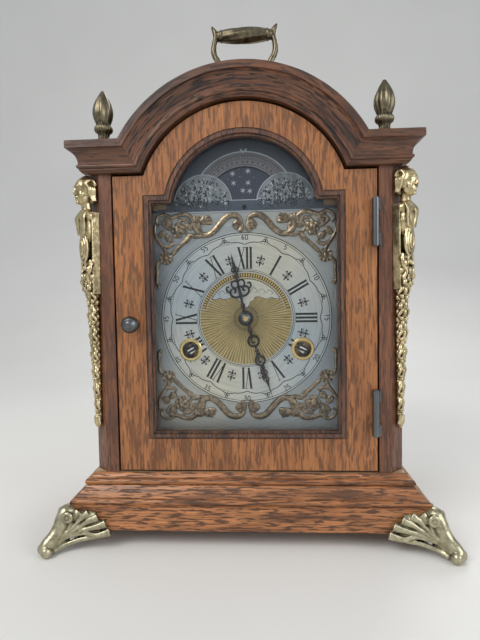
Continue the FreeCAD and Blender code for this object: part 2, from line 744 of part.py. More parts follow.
def make_frame(at):
    plates = []
    for y0 in (0 - plate_sheet, plate_spacing):
        plates.append(box(-plate_half_width, plate_half_width, gap_front + y0, gap_front + y0 + plate_sheet,
                          dial_center - plate_below, dial_center + plate_above))
    corners = [(x, dial_center + z) for x in (-54, 54) for z in (-40, 56)]
    pillars = [rod(p, 3.0, 0, plate_spacing) for p in corners]
    spacers = [rod_y(2.3, dial_frame_back, plate_front, x, dial_center + z) for x in (-57.5,
                                                                                      57.5) for z in (-20,
                                                                                                      24)]
    studs = [rod(at["motion"], arbor_radius, -9.0, -plate_sheet), rod(at["hammer"], 1.5, plate_spacing, 46)]
    frame = fuse(plates + pillars + spacers + studs)
    bores = [rod(at[name], pivot_radius + running, -4, 36)
             for name in ("second", "third", "escape", "lever", "balance", "pin", "warning", "fly")]
    bores.append(rod(at["hub"], center_arbor + running, -4, 36))
    bores += [rod(at[name], winding_arbor + running, -4, 36) for name in ("going", "strike")]
    return frame.cut(Part.Compound(bores))


def make_barrel(at, partner):
    barrel = fuse([gear(at, great_teeth, 2.0, 4.0, partner, False),
                   rod(at, drum_radius, 4.0, 4.0 + drum_length),
                   rod(at, drum_radius + 0.8, 5.0, 6.5), rod(at, drum_radius + 0.8, 23.5, 25.0)])
    square = Part.makeBox(winding_square, 8.0, winding_square,
                          vec(-winding_square / 2, chapter_front, -winding_square / 2))
    square.rotate(vec(0, 0, 0), axis_y, 45)
    square.translate(vec(at[0], 0, at[1]))
    end = chapter_front + 7.0 - gap_front
    shaft = fuse([rod(at, winding_arbor, end, plate_spacing + plate_sheet), square,
                  rod(at, winding_arbor + 2, 27.0, 28.5), rod(at, winding_arbor + 2, seat, 1.6)])
    return barrel.cut(rod(at, winding_arbor + running, 0, 30)), shaft


def make_balance(at):
    center = at["balance"]
    rim = rod(center, balance_radius, 9.0, 10.6).cut(rod(center, balance_radius - 1.2, 8.0, 12.0))
    spoke = box(center[0] - balance_radius + 0.6, center[0] + balance_radius - 0.6, gap_front + 9.2,
                gap_front + 10.2,
                center[1] - 0.9, center[1] + 0.9)
    return fuse([rim, spoke, rod(center, 2.0, 8.4, 11.4), rod(center, 1.9, 18.8, 20.2)] + arbor(center))


def make_lever(at):
    low, pivot, high = at["escape"], at["lever"], at["balance"]
    foot = escape_radius + 1.0
    arms = []
    for side in (-1, 1):
        x = side * foot * 0.72
        wire = outline((pivot[0], pivot[1] + 1.2),
                       [((pivot[0] + x, low[1] + foot * 0.9),), ((pivot[0] + x, low[1] + foot * 0.7),),
                        ((pivot[0] + x * 0.82, low[1] + foot * 0.84),), ((pivot[0], pivot[1] - 1.2),)],
                       front_view)
        arms.append(slab(wire, gap_front + 19.0, gap_front + 20.0))
    tongue = box(pivot[0] - 0.6, pivot[0] + 0.6, gap_front + 19.0, gap_front + 20.0, pivot[1],
                 high[1] - 2.4)
    return fuse(arms + [tongue, rod(pivot, 1.8, 18.6, 20.4)] + arbor(pivot))


def make_escape(at):
    center = at["escape"]
    points = []
    for i in range(escape_teeth):
        turn = i * 360 / escape_teeth
        points.append((polar(escape_radius, turn, center),))
        points.append((polar(escape_radius - 2.4, turn + 4, center),))
        points.append((polar(escape_radius - 2.4, turn + 14, center),))
    wheel = slab(outline(points[0][0], points[1:], front_view), gap_front + 19.0, gap_front + 20.0)
    return fuse([wheel, gear(center, escape_pinion_teeth, 12.5, 15.0, at["third"], True)] + arbor(center))


def make_bells():
    cups = []
    for radius, start in ((30.0, 18.0), (24.0, 32.0)):
        depth = radius * 0.42
        cups.append(turned_y([(bell_stand, 0), ((radius * 0.45, 0),),
                              ((radius * 0.9, depth * 0.35), (radius, depth)),
                              ((radius - 1.4, depth),),
                              ((radius * 0.86, depth * 0.45), (radius * 0.42, 1.4)),
                              ((bell_stand, 1.4),)], bell_x, plate_back + start - 14, dial_center + bell_z))
    stand = rod_y(bell_stand, plate_back, plate_back + 36, bell_x, dial_center + bell_z)
    return {"bells": fuse(cups + [stand])}


def make_hammer(at):
    x, z = at["hammer"]
    y = plate_back + 14
    arm = slab(outline((x - 1.6, z), [((x + 1.6, z),), ((x + 1.0, z + hammer_arm),),
                                      ((x - 1.0, z + hammer_arm),)],
                       front_view), y, y + 1.6)
    head = rod_x(3.2, x - 4.5, x + 4.5, y + 0.8, z + hammer_arm)
    pipe = rod_y(3.2, plate_back + seat, y + 3, x, z)
    return fuse([arm, head, pipe]).cut(rod_y(1.5 + running, plate_back - 1, y + 9, x, z))


def make_movement():
    at = place_arbors()
    hub, second, third, escape = at["hub"], at["second"], at["third"], at["escape"]
    pin, warning, fly, motion = at["pin"], at["warning"], at["fly"], at["motion"]
    going, going_shaft = make_barrel(at["going"], second)
    strike, strike_shaft = make_barrel(at["strike"], pin)
    nut_front = -plate_sheet - motion_space - dial_sheet - chapter_sheet - hand_gap - 3 * hand_sheet
    center = fuse([rod(hub, center_arbor, nut_front - 1.7, plate_spacing + plate_sheet),
                   rod(hub, cannon_pipe, nut_front + hand_sheet, -plate_sheet - seat),
                   gear(hub, cannon_teeth, -5.2, -3.7, motion, False),
                   rod(hub, arbor_radius + 1.5, seat, 2.0),
                   gear(hub, center_pinion_teeth, 26.5, 29.0, second, True),
                   gear(hub, center_teeth, 5.0, 6.5, third, False)])
    second_module = gear_module * (cannon_teeth + minute_wheel_teeth) / (minute_pinion_teeth + hour_teeth)
    motion_bore = arbor_radius + running
    minute_wheel = fuse([gear(motion, minute_wheel_teeth, -5.2, -3.7, hub, True),
                         gear(motion, minute_pinion_teeth, -8.6, -5.2, hub, False, module=second_module)])
    hour_front = nut_front + 2 * hand_sheet
    hour = fuse([rod(hub, hour_pipe, hour_front, -5.8),
                 gear(hub, hour_teeth, -8.2, -6.7, motion, True, module=second_module)])
    vane = box(fly[0] - 8, fly[0] + 8, gap_front + 21, gap_front + 27, fly[1] - 0.4, fly[1] + 0.4)
    pieces = {
        "movement_frame": make_frame(at),
        "going_barrel": going, "going_winding_arbor": going_shaft,
        "strike_barrel": strike, "strike_winding_arbor": strike_shaft,
        "second_wheel": fuse([gear(second, second_pinion_teeth, 1.5, 4.5, at["going"], True),
                              gear(second, second_teeth, 27.0, 28.5, hub, False)] + arbor(second)),
        "center_wheel": center,
        "third_wheel": fuse([gear(third, third_pinion_teeth, 4.5, 7.0, hub, True),
                             gear(third, third_teeth, 13.0, 14.5, escape, False)] + arbor(third)),
        "escape_wheel": make_escape(at), "pallet_lever": make_lever(at), "balance_wheel": make_balance(at),
        "minute_wheel": minute_wheel.cut(rod(motion, motion_bore, -12, 0)),
        "hour_wheel": hour.cut(rod(hub, cannon_pipe + running, -30, 0)),
        "pin_wheel": fuse([gear(pin, pin_wheel_pinion_teeth, 1.5, 4.5, at["strike"], True),
                           gear(pin, pin_wheel_teeth, 27.0, 28.5, warning, False)] + arbor(pin)),
        "warning_wheel": fuse([gear(warning, warning_pinion_teeth, 26.5, 29.0, pin, True),
                               gear(warning, warning_teeth, 16.0, 17.5, fly, False)] + arbor(warning)),
        "fly": fuse([gear(fly, fly_pinion_teeth, 15.5, 18.0, warning, True), vane] + arbor(fly)),
        "hammer": make_hammer(at),
    }
    pieces.update(make_bells())
    return pieces


# ---- handle, finials, mounts and feet ----------------------------------------------------------
def make_handle():
    pivot = arch_center + roof_radius + handle_rise
    outer_x = handle_leg_x + handle_leg
    bulge = handle_half_width
    leg = outline(
        (handle_leg_x, -handle_foot),
        [((outer_x, -handle_foot),), ((outer_x, 16.0),), ((outer_x + 0.5, 22.6), (bulge - 3.6, 28.5)),
         ((bulge - 0.9, 32.2), (bulge, 36.5)), ((bulge - 0.5, 42.0), (bulge - 2.1, 46.0)),
         ((bulge - 1.7, 50.2), (bulge - 0.4, 53.3)), ((bulge - 3.0, 52.3), (bulge - 5.2, 49.6)),
         ((bulge - 5.4, 43.5),), ((bulge - 4.1, 39.6), (bulge - 4.3, 36.0)),
         ((bulge - 5.6, 31.8), (bulge - 7.7, 28.5)), ((handle_leg_x + 0.6, 22.4), (handle_leg_x, 16.0))],
        lambda x, h: vec(x, handle_y - handle_leg_depth / 2, pivot + h),
    )
    leg = Part.Face(leg).extrude(vec(0, handle_leg_depth, 0))
    leg = leg.cut(rod_x(handle_pin + running, 0, 2 * outer_x, handle_y, pivot))
    collar = bulge - 7.6
    half = outline(
        (0, 0),
        [((0, grip_radius),), ((7.5, grip_radius - 0.2), (13.5, grip_end)),
         ((collar - 1.6, grip_end + 0.9),),
         ((collar - 0.4, grip_end + 0.9),), ((collar + 0.4, grip_end - 0.6),),
         ((bulge - 5.0, grip_end - 0.6),),
         ((bulge - 5.0, 0),)],
        lambda x, r: vec(x, handle_y, pivot + handle_length + r),
    )
    grip = Part.Face(half).revolve(vec(0, handle_y, pivot + handle_length), vec(1, 0, 0), 360)
    inner = handle_leg_x - seat
    post_radius = handle_foot
    swing = math.hypot(handle_foot, handle_leg_depth / 2) + seat
    post_x = inner - post_radius
    post = fuse([rod_z(post_radius, pivot - 2 * handle_rise, pivot, post_x, handle_y),
                 rod_x(post_radius, post_x - 2.6, inner, handle_y, pivot),
                 rod_z(post_radius + 1.8, pivot - 2 * handle_rise, pivot - swing, post_x, handle_y)])
    post = post.cut(rod_y(roof_radius, frame_back - 1, back_y, 0, arch_center))
    outer = outer_x + seat
    screw = fuse([rod_x(handle_pin, inner - post_radius, outer + 0.2, handle_y, pivot),
                  rod_x(2 * handle_pin, outer, outer + 1.4, handle_y, pivot)])
    post = fuse([post, screw])
    return {"handle": fuse([leg, mirrored(leg), grip, mirrored(grip)]), "handle_posts": both_sides(post)}


def make_finials():
    profile = [(0, 0), ((4.4, 0),), ((4.4, 1.2),), ((3.4, 3.0),), ((3.6, 5.6),), ((5.25, 7.2),),
               ((5.25, 9.4),),
               ((4.2, 10.8),), ((6.0, 16.5), (4.6, 23.5)), ((3.0, 27.6),), ((1.2, 30.4),),
               ((0, finial_height),)]
    return {"finials": both_sides(turned(profile, finial_x, front_y - 0.5, shoulder_height))}


def shaft_section(half, depth, height):
    """Cross section of the plain shaft: straight flanks and a rounded front."""
    return outline(
        (-half, 0),
        [((half, 0),), ((half, -depth),), ((0, -depth - half * 0.7), (-half, -depth))],
        lambda u, n: vec(u, n, height),
    )


def make_figures():
    """Herm with a head, shoulders, a banded shaft, an oval shield and a tapering drop of fruit."""
    tip = figure_bottom
    top = tip + figure_length
    drop = [(0, 0)] + [((r, h),) for r, h in figure_drop] + [((0, figure_drop[-1][1]),)]
    drop = turned(drop, 0, 0, tip)
    shield_low = figure_drop[-1][1] - 3.0
    shield = turned([(0, shield_low), ((5.6, shield_low + 5.0), (5.8, shield_low + 10.5)),
                     ((4.4, herm_foot + 1.0), (0, herm_foot + 3.5))], 0, -2.4, tip)
    shaft = Part.makeLoft([shaft_section(herm_half - 1.4, herm_depth - 1.6, tip + herm_foot),
                           shaft_section(herm_half, herm_depth, tip + herm_top)], True, True)
    bands = [rod_x(2.4, -herm_half + 0.8, herm_half - 0.8, -herm_depth - 0.6, tip + herm_foot + 1.6),
             rod_x(2.0, -herm_half - 0.4, herm_half + 0.4, -herm_depth - 1.4, tip + herm_top - 2.4)]
    bust = turned([(0, herm_top - 1.0), ((7.8, herm_top - 1.0),),
                   ((7.6, herm_top + 4.4), (3.4, herm_top + 8.0)),
                   ((0, herm_top + 8.0),)], 0, -bust_out, tip)
    crown = head_radius + 0.8
    head_z = top - crown - 3.2
    neck = rod_z(3.2, tip + herm_top + 6.0, head_z, 0, -head_out + 1.0)
    head = Part.makeSphere(head_radius, vec(0, -head_out, head_z))
    chin = Part.makeSphere(0.72 * head_radius, vec(0, -head_out - 0.4, head_z - 4.2))
    hair = Part.makeSphere(crown, vec(0, -head_out + 1.5, top - crown))
    back = box(-5.4, 5.4, -1.6, 0, tip + figure_drop[-1][1] - 2, top - 4.0)
    figure = fuse([drop, shield, shaft, bust, neck, head, chin, hair, back] + bands)
    figure = figure.cut(half_space(vec(0, 0, 0), axis_y))
    figure.rotate(vec(0, 0, 0), axis_z, 45)
    middle = corner_cant / 2
    figure.translate(vec(half_width - middle, front_y + middle, 0))
    return {"corner_figures": both_sides(figure)}


def across(radius, reach, height, extra):
    """Roll lying across the foot, before the foot is turned to the corner's diagonal."""
    half = foot_width / 2 + extra
    return rod_y(radius, -half, half, reach, height)


def make_foot():
    """Front right foot, drawn about the lower corner of the base."""
    corner_x, corner_y = half_width + base_overhang, front_y - base_overhang
    toe = foot_reach * math.sqrt(2)
    scroll = outline(
        (-24.0, base_foot_gap),
        [((-13.0, 7.0), (-6.0, 0)), ((toe - 4.0, 0),), ((toe + 0.2, 1.8), (toe - 0.2, 5.6)),
         ((toe - 2.6, 8.4), (toe - 6.0, 7.0)), ((toe - 12.0, 7.4), (toe - 13.8, 12.5)),
         ((toe - 11.0, 17.5), (toe - 12.6, 23.0)), ((toe - 15.0, 27.0), (toe - 18.5, 26.6)),
         ((-10.0, 26.0),), ((-10.0, base_foot_gap),)],
        lambda d, h: vec(d, -foot_width / 2, h),
    )
    scroll = Part.Face(scroll).extrude(vec(0, foot_width, 0))
    volute = (toe - 16.0, 21.8)
    rolls = [across(toe_roll, toe - toe_roll, toe_roll, foot_boss), across(volute_roll, *volute, foot_boss)]
    scroll = fuse([scroll] + rolls)
    for side in (-1, 1):
        face = side * (foot_width / 2 + foot_boss)
        y0, y1 = sorted((face + side, face - side * 2 * foot_boss))
        scroll = scroll.cut(rod_y(volute_eye, y0, y1, *volute))
    scroll.rotate(vec(0, 0, 0), axis_z, -45)
    scroll.translate(vec(corner_x, corner_y, 0))
    valleys = ((10.5, 25.6), (19.5, 21.6), (26.2, 15.8))
    fan = outline(
        (corner_x - 3.0, base_foot_gap - 3.0),
        [((corner_x - 3.0, 26.2),), ((corner_x - 6.5, 28.6), (corner_x - valleys[0][0], valleys[0][1])),
         ((corner_x - 16.5, 26.6), (corner_x - valleys[1][0], valleys[1][1])),
         ((corner_x - 25.0, 21.4), (corner_x - valleys[2][0], valleys[2][1])),
         ((corner_x - 30.0, 12.6), (corner_x - 26.5, 9.2)),
         ((corner_x - 13.0, 11.0), (corner_x - 6.0, 8.0))],
        lambda x, h: vec(x, corner_y - fan_depth, h),
    )
    front = Part.Face(fan).extrude(vec(0, fan_depth, 0))
    root = vec(corner_x - 2.0, corner_y - fan_depth, base_foot_gap + 1.0)
    for inset, height in valleys:
        line = vec(corner_x - inset, corner_y - fan_depth, height) - root
        front = front.cut(Part.makeCylinder(fan_groove, line.Length + 2 * fan_groove, root, line))
    side = front.mirror(vec(corner_x, corner_y, 0), vec(1, 1, 0))
    base = box(0, corner_x, corner_y, back_y, base_foot_gap, base_foot_gap + base_height)
    return fuse([scroll, front, side]).cut(base)


def make_feet():
    front = make_foot()
    rear = front.mirror(vec(0, 0, 0), axis_y)
    return {"front_feet": both_sides(front), "rear_feet": both_sides(rear)}


# ---- all pieces --------------------------------------------------------------------------------
os.makedirs("parts", exist_ok=True)
for make in (make_base, make_crown, make_case, make_front_door, make_rear_door, make_dial, make_hands,
             make_movement,
             make_handle, make_finials, make_figures, make_feet):
    for node, shape in make().items():
        shape.exportStep("parts/" + node + ".step")
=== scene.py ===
import math
import random

import bpy
from mathutils import Matrix, Vector, noise


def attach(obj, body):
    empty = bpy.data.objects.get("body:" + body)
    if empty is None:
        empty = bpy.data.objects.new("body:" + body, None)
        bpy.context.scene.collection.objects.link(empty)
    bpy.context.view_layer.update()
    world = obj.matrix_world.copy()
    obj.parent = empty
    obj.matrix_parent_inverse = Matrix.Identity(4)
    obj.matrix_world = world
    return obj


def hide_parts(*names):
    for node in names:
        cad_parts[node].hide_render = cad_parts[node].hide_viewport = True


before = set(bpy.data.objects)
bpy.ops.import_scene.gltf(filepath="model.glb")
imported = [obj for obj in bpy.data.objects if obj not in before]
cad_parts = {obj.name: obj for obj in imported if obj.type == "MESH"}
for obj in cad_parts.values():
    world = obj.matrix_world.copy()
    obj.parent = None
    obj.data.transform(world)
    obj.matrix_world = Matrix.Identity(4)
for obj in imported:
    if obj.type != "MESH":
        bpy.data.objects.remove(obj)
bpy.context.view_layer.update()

mm = 0.001
frontPlane = -52.75      # front of the door and the posts, in millimetres
dialZ = 137.2            # height of the hands' arbor
moonZ = 208.6            # height of the moon's pivot
dialFront = -36.95       # front of the dial plate
chapterFront = -37.95    # front of the chapter ring
archZ = 203.0            # middle of the arch of the crown
lineZ = 204.6            # the dial plate is dark above this height
castGrain = 900          # waves per metre of the cast surfaces
print("frame loaded,", len(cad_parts), "nodes")


# camera, light and floor
cameraSettings = {"place": (14.8, -348.7, 152.7), "turn": 0.060, "dip": 0.053, "roll": -0.017,
                  "focalPixels": 488.3}


def addCamera(s):
    turn, dip, roll = s["turn"], s["dip"], s["roll"]
    forward = Vector((-math.sin(turn) * math.cos(dip), math.cos(turn) * math.cos(dip), -math.sin(dip)))
    right = Vector((math.cos(turn), math.sin(turn), 0))
    up = right.cross(forward)
    imageRight = right * math.cos(roll) + up * math.sin(roll)
    imageUp = up * math.cos(roll) - right * math.sin(roll)
    data = bpy.data.cameras.new("camera")
    data.sensor_width = 36.0
    data.lens = s["focalPixels"] * 36.0 / 640.0
    data.clip_start = 0.01
    camera = bpy.data.objects.new("camera", data)
    turnMatrix = Matrix((imageRight, imageUp, -forward)).transposed().to_4x4()
    camera.matrix_world = Matrix.Translation(Vector(s["place"]) * mm) @ turnMatrix
    bpy.context.scene.collection.objects.link(camera)
    bpy.context.scene.camera = camera


lightSettings = {
    "key": {"place": (-0.55, -0.75, 0.85), "size": 0.7, "power": 7.0, "color": (1.0, 0.98, 0.95)},
    "fill": {"place": (0.75, -0.55, 0.45), "size": 0.6, "power": 3.2, "color": (0.96, 0.98, 1.0)},
    "rim": {"place": (0.2, 0.7, 0.8), "size": 0.6, "power": 3.0, "color": (1.0, 1.0, 1.0)},
}


def addLights(settings):
    for name, s in settings.items():
        data = bpy.data.lights.new(name, "AREA")
        data.shape = "DISK"
        data.size = s["size"]
        data.energy = s["power"]
        data.color = s["color"]
        lamp = bpy.data.objects.new(name, data)
        lamp.location = s["place"]
        aim = Vector((0, 0, 0.15)) - lamp.location
        lamp.rotation_euler = aim.to_track_quat("-Z", "Y").to_euler()
        bpy.context.scene.collection.objects.link(lamp)


worldSettings = {"color": (0.86, 0.90, 0.95), "strength": 0.62, "seen": (0.93, 0.94, 0.93)}


def addWorld(s):
    world = bpy.data.worlds.new("studio")
    world.use_nodes = True
    bpy.context.scene.world = world
    tree = world.node_tree
    tree.nodes.clear()
    out = tree.nodes.new("ShaderNodeOutputWorld")
    light = tree.nodes.new("ShaderNodeBackground")
    light.inputs["Color"].default_value = (*s["color"], 1)
    light.inputs["Strength"].default_value = s["strength"]
    seen = tree.nodes.new("ShaderNodeBackground")
    seen.inputs["Color"].default_value = (*s["seen"], 1)
    seen.inputs["Strength"].default_value = 1.0
    path = tree.nodes.new("ShaderNodeLightPath")
    mix = tree.nodes.new("ShaderNodeMixShader")
    tree.links.new(path.outputs["Is Camera Ray"], mix.inputs["Fac"])
    tree.links.new(light.outputs[0], mix.inputs[1])
    tree.links.new(seen.outputs[0], mix.inputs[2])
    tree.links.new(mix.outputs[0], out.inputs["Surface"])


addCamera(cameraSettings)
addLights(lightSettings)
addWorld(worldSettings)
bpy.context.scene.view_settings.view_transform = "Standard"
print("camera and light set")


# shader groups
def socket(tree, name, kind, default=None, out=False):
    made = tree.interface.new_socket(name=name, in_out="OUTPUT" if out else "INPUT",
                                     socket_type="NodeSocket" + kind)
    if default is not None:
        made.default_value = default


def newGroup(name, inputs, outputs):
    tree = bpy.data.node_groups.new(name, "ShaderNodeTree")
    for title, kind, default in inputs:
        socket(tree, title, kind, default)
    for title, kind in outputs:
        socket(tree, title, kind, out=True)
    return tree, tree.nodes.new("NodeGroupInput"), tree.nodes.new("NodeGroupOutput")


def node(tree, kind, values=None, **settings):
    made = tree.nodes.new("ShaderNode" + kind)
    for key, value in settings.items():
        setattr(made, key, value)
    for key, value in (values or {}).items():
        if isinstance(value, bpy.types.NodeSocket):
            tree.links.new(value, made.inputs[key])
        else:
            made.inputs[key].default_value = value
    return made


def mathNode(tree, operation, *values):
    made = node(tree, "Math", operation=operation)
    for i, value in enumerate(values):
        if isinstance(value, bpy.types.NodeSocket):
            tree.links.new(value, made.inputs[i])
        else:
            made.inputs[i].default_value = value
    return made.outputs[0]


def mixColor(tree, fac, a, b, blend="MIX"):
    made = node(tree, "Mix", data_type="RGBA", blend_type=blend)
    for index, value in ((0, fac), (6, a), (7, b)):
        if isinstance(value, bpy.types.NodeSocket):
            tree.links.new(value, made.inputs[index])
        else:
            made.inputs[index].default_value = value if index == 0 else (*value[:3], 1)
    return made.outputs[2]


def ramp(tree, fac, stops, interpolation="LINEAR"):
    made = node(tree, "ValToRGB")
    made.color_ramp.interpolation = interpolation
    elements = made.color_ramp.elements
    elements[0].position, elements[0].color = stops[0][0], (*stops[0][1], 1)
    elements[1].position, elements[1].color = stops[-1][0], (*stops[-1][1], 1)
    for place, color in stops[1:-1]:
        elements.new(place).color = (*color, 1)
    tree.links.new(fac, made.inputs["Fac"])
    return made.outputs["Color"]


def grey(v):
    return (v, v, v)


def oakGrain():
    tree, gin, gout = newGroup(
        "oakGrain",
        [("Vector", "Vector", None), ("Light", "Color", (0.5, 0.3, 0.15, 1)),
         ("Middle", "Color", (0.3, 0.16, 0.08, 1)),
         ("Dark", "Color", (0.08, 0.04, 0.02, 1)), ("Figure", "Float", 1.0), ("Pores", "Float", 1.0),
         ("Wear", "Float", 0.3)],
        [("Color", "Color"), ("Roughness", "Float"), ("Height", "Float")],
    )
    place = gin.outputs["Vector"]
    # slow figure of the board, stretched along the grain
    broad = node(tree, "Mapping", {"Vector": place, "Scale": (1.0, 1.0, 0.10)})
    warp = node(tree, "TexNoise", {"Vector": broad.outputs[0], "Scale": 55.0, "Detail": 3.0,
                                   "Roughness": 0.55})
    bent = node(tree, "VectorMath", {0: broad.outputs[0], 1: warp.outputs["Color"], 2: (0.012, 0.012, 0.012)},
                operation="MULTIPLY_ADD")
    # multiply-add gives place * colour + offset, so the plain place is mixed back in
    mixPlace = node(tree, "Mix", {"Factor": 0.18}, data_type="VECTOR")
    tree.links.new(broad.outputs[0], mixPlace.inputs[4])
    tree.links.new(bent.outputs[0], mixPlace.inputs[5])
    figure = node(tree, "TexNoise", {"Vector": mixPlace.outputs[1], "Scale": 210.0, "Detail": 5.0,
                                     "Roughness": 0.62})
    fine = node(tree, "Mapping", {"Vector": place, "Scale": (1.0, 1.0, 0.035)})
    fibre = node(tree, "TexNoise", {"Vector": fine.outputs[0], "Scale": 950.0, "Detail": 2.5,
                                    "Roughness": 0.6})
    poreMap = node(tree, "Mapping", {"Vector": place, "Scale": (1.0, 1.0, 0.12)})
    pore = node(tree, "TexNoise", {"Vector": poreMap.outputs[0], "Scale": 860.0, "Detail": 2.0,
                                   "Roughness": 0.55})
    blotch = node(tree, "TexNoise", {"Vector": place, "Scale": 22.0, "Detail": 2.0})
    tone = ramp(tree, figure.outputs[0], [(0.36, grey(0.0)), (0.5, grey(0.55)), (0.64, grey(1.0))])
    toned = mixColor(tree, tone, gin.outputs["Middle"], gin.outputs["Light"])
    darkLine = ramp(tree, figure.outputs[0], [(0.33, grey(1.0)), (0.47, grey(0.0))])
    lined = mixColor(tree, mathNode(tree, "MULTIPLY", darkLine, gin.outputs["Figure"]), toned,
                     gin.outputs["Dark"])
    poreMask = ramp(tree, pore.outputs[0], [(0.425, grey(1.0)), (0.495, grey(0.0))])
    poreAmount = mathNode(tree, "MULTIPLY", poreMask, gin.outputs["Pores"])
    pored = mixColor(tree, mathNode(tree, "MULTIPLY", poreAmount, 0.92), lined, gin.outputs["Dark"])
    streak = ramp(tree, fibre.outputs[0], [(0.32, grey(0.45)), (0.68, grey(1.4))])
    streaked = mixColor(tree, 0.8, pored, streak, "MULTIPLY")
    patch = ramp(tree, blotch.outputs[0], [(0.3, grey(0.82)), (0.7, grey(1.14))])
    patched = mixColor(tree, 1.0, streaked, patch, "MULTIPLY")
    # rubbed edges are paler
    geometry = node(tree, "NewGeometry")
    edge = ramp(tree, geometry.outputs["Pointiness"], [(0.505, grey(0.0)), (0.56, grey(1.0))])
    worn = mixColor(tree, mathNode(tree, "MULTIPLY", edge, gin.outputs["Wear"]), patched,
                    gin.outputs["Light"])
    tree.links.new(worn, gout.inputs["Color"])
    rough = mathNode(tree, "MULTIPLY_ADD", poreAmount, 0.25, 0.36)
    tree.links.new(rough, gout.inputs["Roughness"])
    high = mathNode(tree, "SUBTRACT", mathNode(tree, "MULTIPLY", fibre.outputs[0], 0.35), poreAmount)
    tree.links.new(high, gout.inputs["Height"])
    return tree


def castPatinaAndShade():
    tree, gin, gout = newGroup(
        "castPatinaAndShade",
        [("Bright", "Color", (0.8, 0.6, 0.2, 1)), ("Aged", "Color", (0.4, 0.3, 0.1, 1)),
         ("Recess", "Color", (0.03, 0.02, 0.01, 1)),
         ("Scale", "Float", 300.0), ("Rub", "Float", 1.0), ("Polish", "Float", 0.3)],
        [("Color", "Color"), ("Roughness", "Float"), ("Height", "Float")],
    )
    coords = node(tree, "TexCoord")
    mottle = node(tree, "TexNoise", {"Vector": coords.outputs["Object"], "Scale": gin.outputs["Scale"],
                                     "Detail": 5.0,
                                     "Roughness": 0.65})
    broad = node(tree, "TexNoise", {"Vector": coords.outputs["Object"], "Scale": 60.0, "Detail": 2.0})
    geometry = node(tree, "NewGeometry")
    # painted shade: the ambient occlusion term darkens close crevices toward the recess colour; the concave
    # pointiness term is patina in the hollows
    shut = node(tree, "AmbientOcclusion", {"Distance": 0.0022}, samples=5, only_local=True)
    raised = ramp(tree, geometry.outputs["Pointiness"], [(0.49, grey(0.0)), (0.56, grey(1.0))])
    hollow = ramp(tree, geometry.outputs["Pointiness"], [(0.43, grey(1.0)), (0.50, grey(0.0))])
    occlusionShade = ramp(tree, shut.outputs["AO"], [(0.45, grey(1.0)), (0.92, grey(0.0))])
    sunk = mathNode(tree, "MAXIMUM", hollow, occlusionShade)
    base = mixColor(tree, ramp(tree, mottle.outputs[0], [(0.35, grey(0.0)), (0.65, grey(1.0))]),
                    gin.outputs["Aged"],
                    gin.outputs["Bright"])
    rubbed = mixColor(tree, mathNode(tree, "MULTIPLY", raised, gin.outputs["Rub"]), base,
                      gin.outputs["Bright"])
    # recess colour: patina in the hollows and painted shade in the occluded crevices
    patinaAndShade = mixColor(tree, sunk, rubbed, gin.outputs["Recess"])
    shade = ramp(tree, broad.outputs[0], [(0.35, grey(0.8)), (0.65, grey(1.1))])
    tree.links.new(mixColor(tree, 1.0, patinaAndShade, shade, "MULTIPLY"), gout.inputs["Color"])
    rough = mathNode(tree, "ADD", gin.outputs["Polish"], mathNode(tree, "MULTIPLY", mottle.outputs[0], 0.22))
    tree.links.new(mathNode(tree, "ADD", rough, mathNode(tree, "MULTIPLY", sunk, 0.3)),
                   gout.inputs["Roughness"])
    tree.links.new(mottle.outputs[0], gout.inputs["Height"])
    return tree


def faintScratches():
    tree, gin, gout = newGroup(
        "faintScratches",
        [("Vector", "Vector", None), ("Base", "Color", (0.7, 0.7, 0.7, 1)),
         ("Tint", "Color", (0.5, 0.5, 0.5, 1)),
         ("Scale", "Float", 400.0), ("Amount", "Float", 0.4), ("Polish", "Float", 0.3)],
        [("Color", "Color"), ("Roughness", "Float"), ("Height", "Float")],
    )
    cloud = node(tree, "TexNoise", {"Vector": gin.outputs["Vector"], "Scale": 45.0, "Detail": 3.0})
    stretched = node(tree, "Mapping", {"Vector": gin.outputs["Vector"], "Scale": (1.0, 1.0, 0.04)})
    lines = node(tree, "TexNoise", {"Vector": stretched.outputs[0], "Scale": gin.outputs["Scale"],
                                    "Detail": 3.0})
    mask = mathNode(tree, "MULTIPLY", ramp(tree, lines.outputs[0], [(0.35, grey(0.0)), (0.65, grey(1.0))]),
                    gin.outputs["Amount"])
    colored = mixColor(tree, mask, gin.outputs["Base"], gin.outputs["Tint"])
    clouded = mixColor(tree, 1.0, colored, ramp(tree, cloud.outputs[0],
                                                [(0.3, grey(0.88)), (0.7, grey(1.08))]), "MULTIPLY")
    tree.links.new(clouded, gout.inputs["Color"])
    tree.links.new(mathNode(tree, "MULTIPLY_ADD", mask, 0.2, gin.outputs["Polish"]), gout.inputs["Roughness"])
    tree.links.new(lines.outputs[0], gout.inputs["Height"])
    return tree


def polarPlace():
    tree, gin, gout = newGroup("polarPlace", [("Vector", "Vector", None), ("Height", "Float", 0.0)],
                               [("Turn", "Float"), ("Radius", "Float")])
    parts = node(tree, "SeparateXYZ", {0: gin.outputs["Vector"]})
    high = mathNode(tree, "SUBTRACT", parts.outputs[2], gin.outputs["Height"])
    across = mathNode(tree, "MULTIPLY", parts.outputs[0], parts.outputs[0])
    total = mathNode(tree, "ADD", across, mathNode(tree, "MULTIPLY", high, high))
    tree.links.new(mathNode(tree, "ARCTAN2", parts.outputs[0], high), gout.inputs["Turn"])
    tree.links.new(mathNode(tree, "SQRT", total), gout.inputs["Radius"])
    return tree


groups = {"oak": oakGrain(), "cast": castPatinaAndShade(), "scratches": faintScratches(), "polar": polarPlace()}
print("shader groups made")


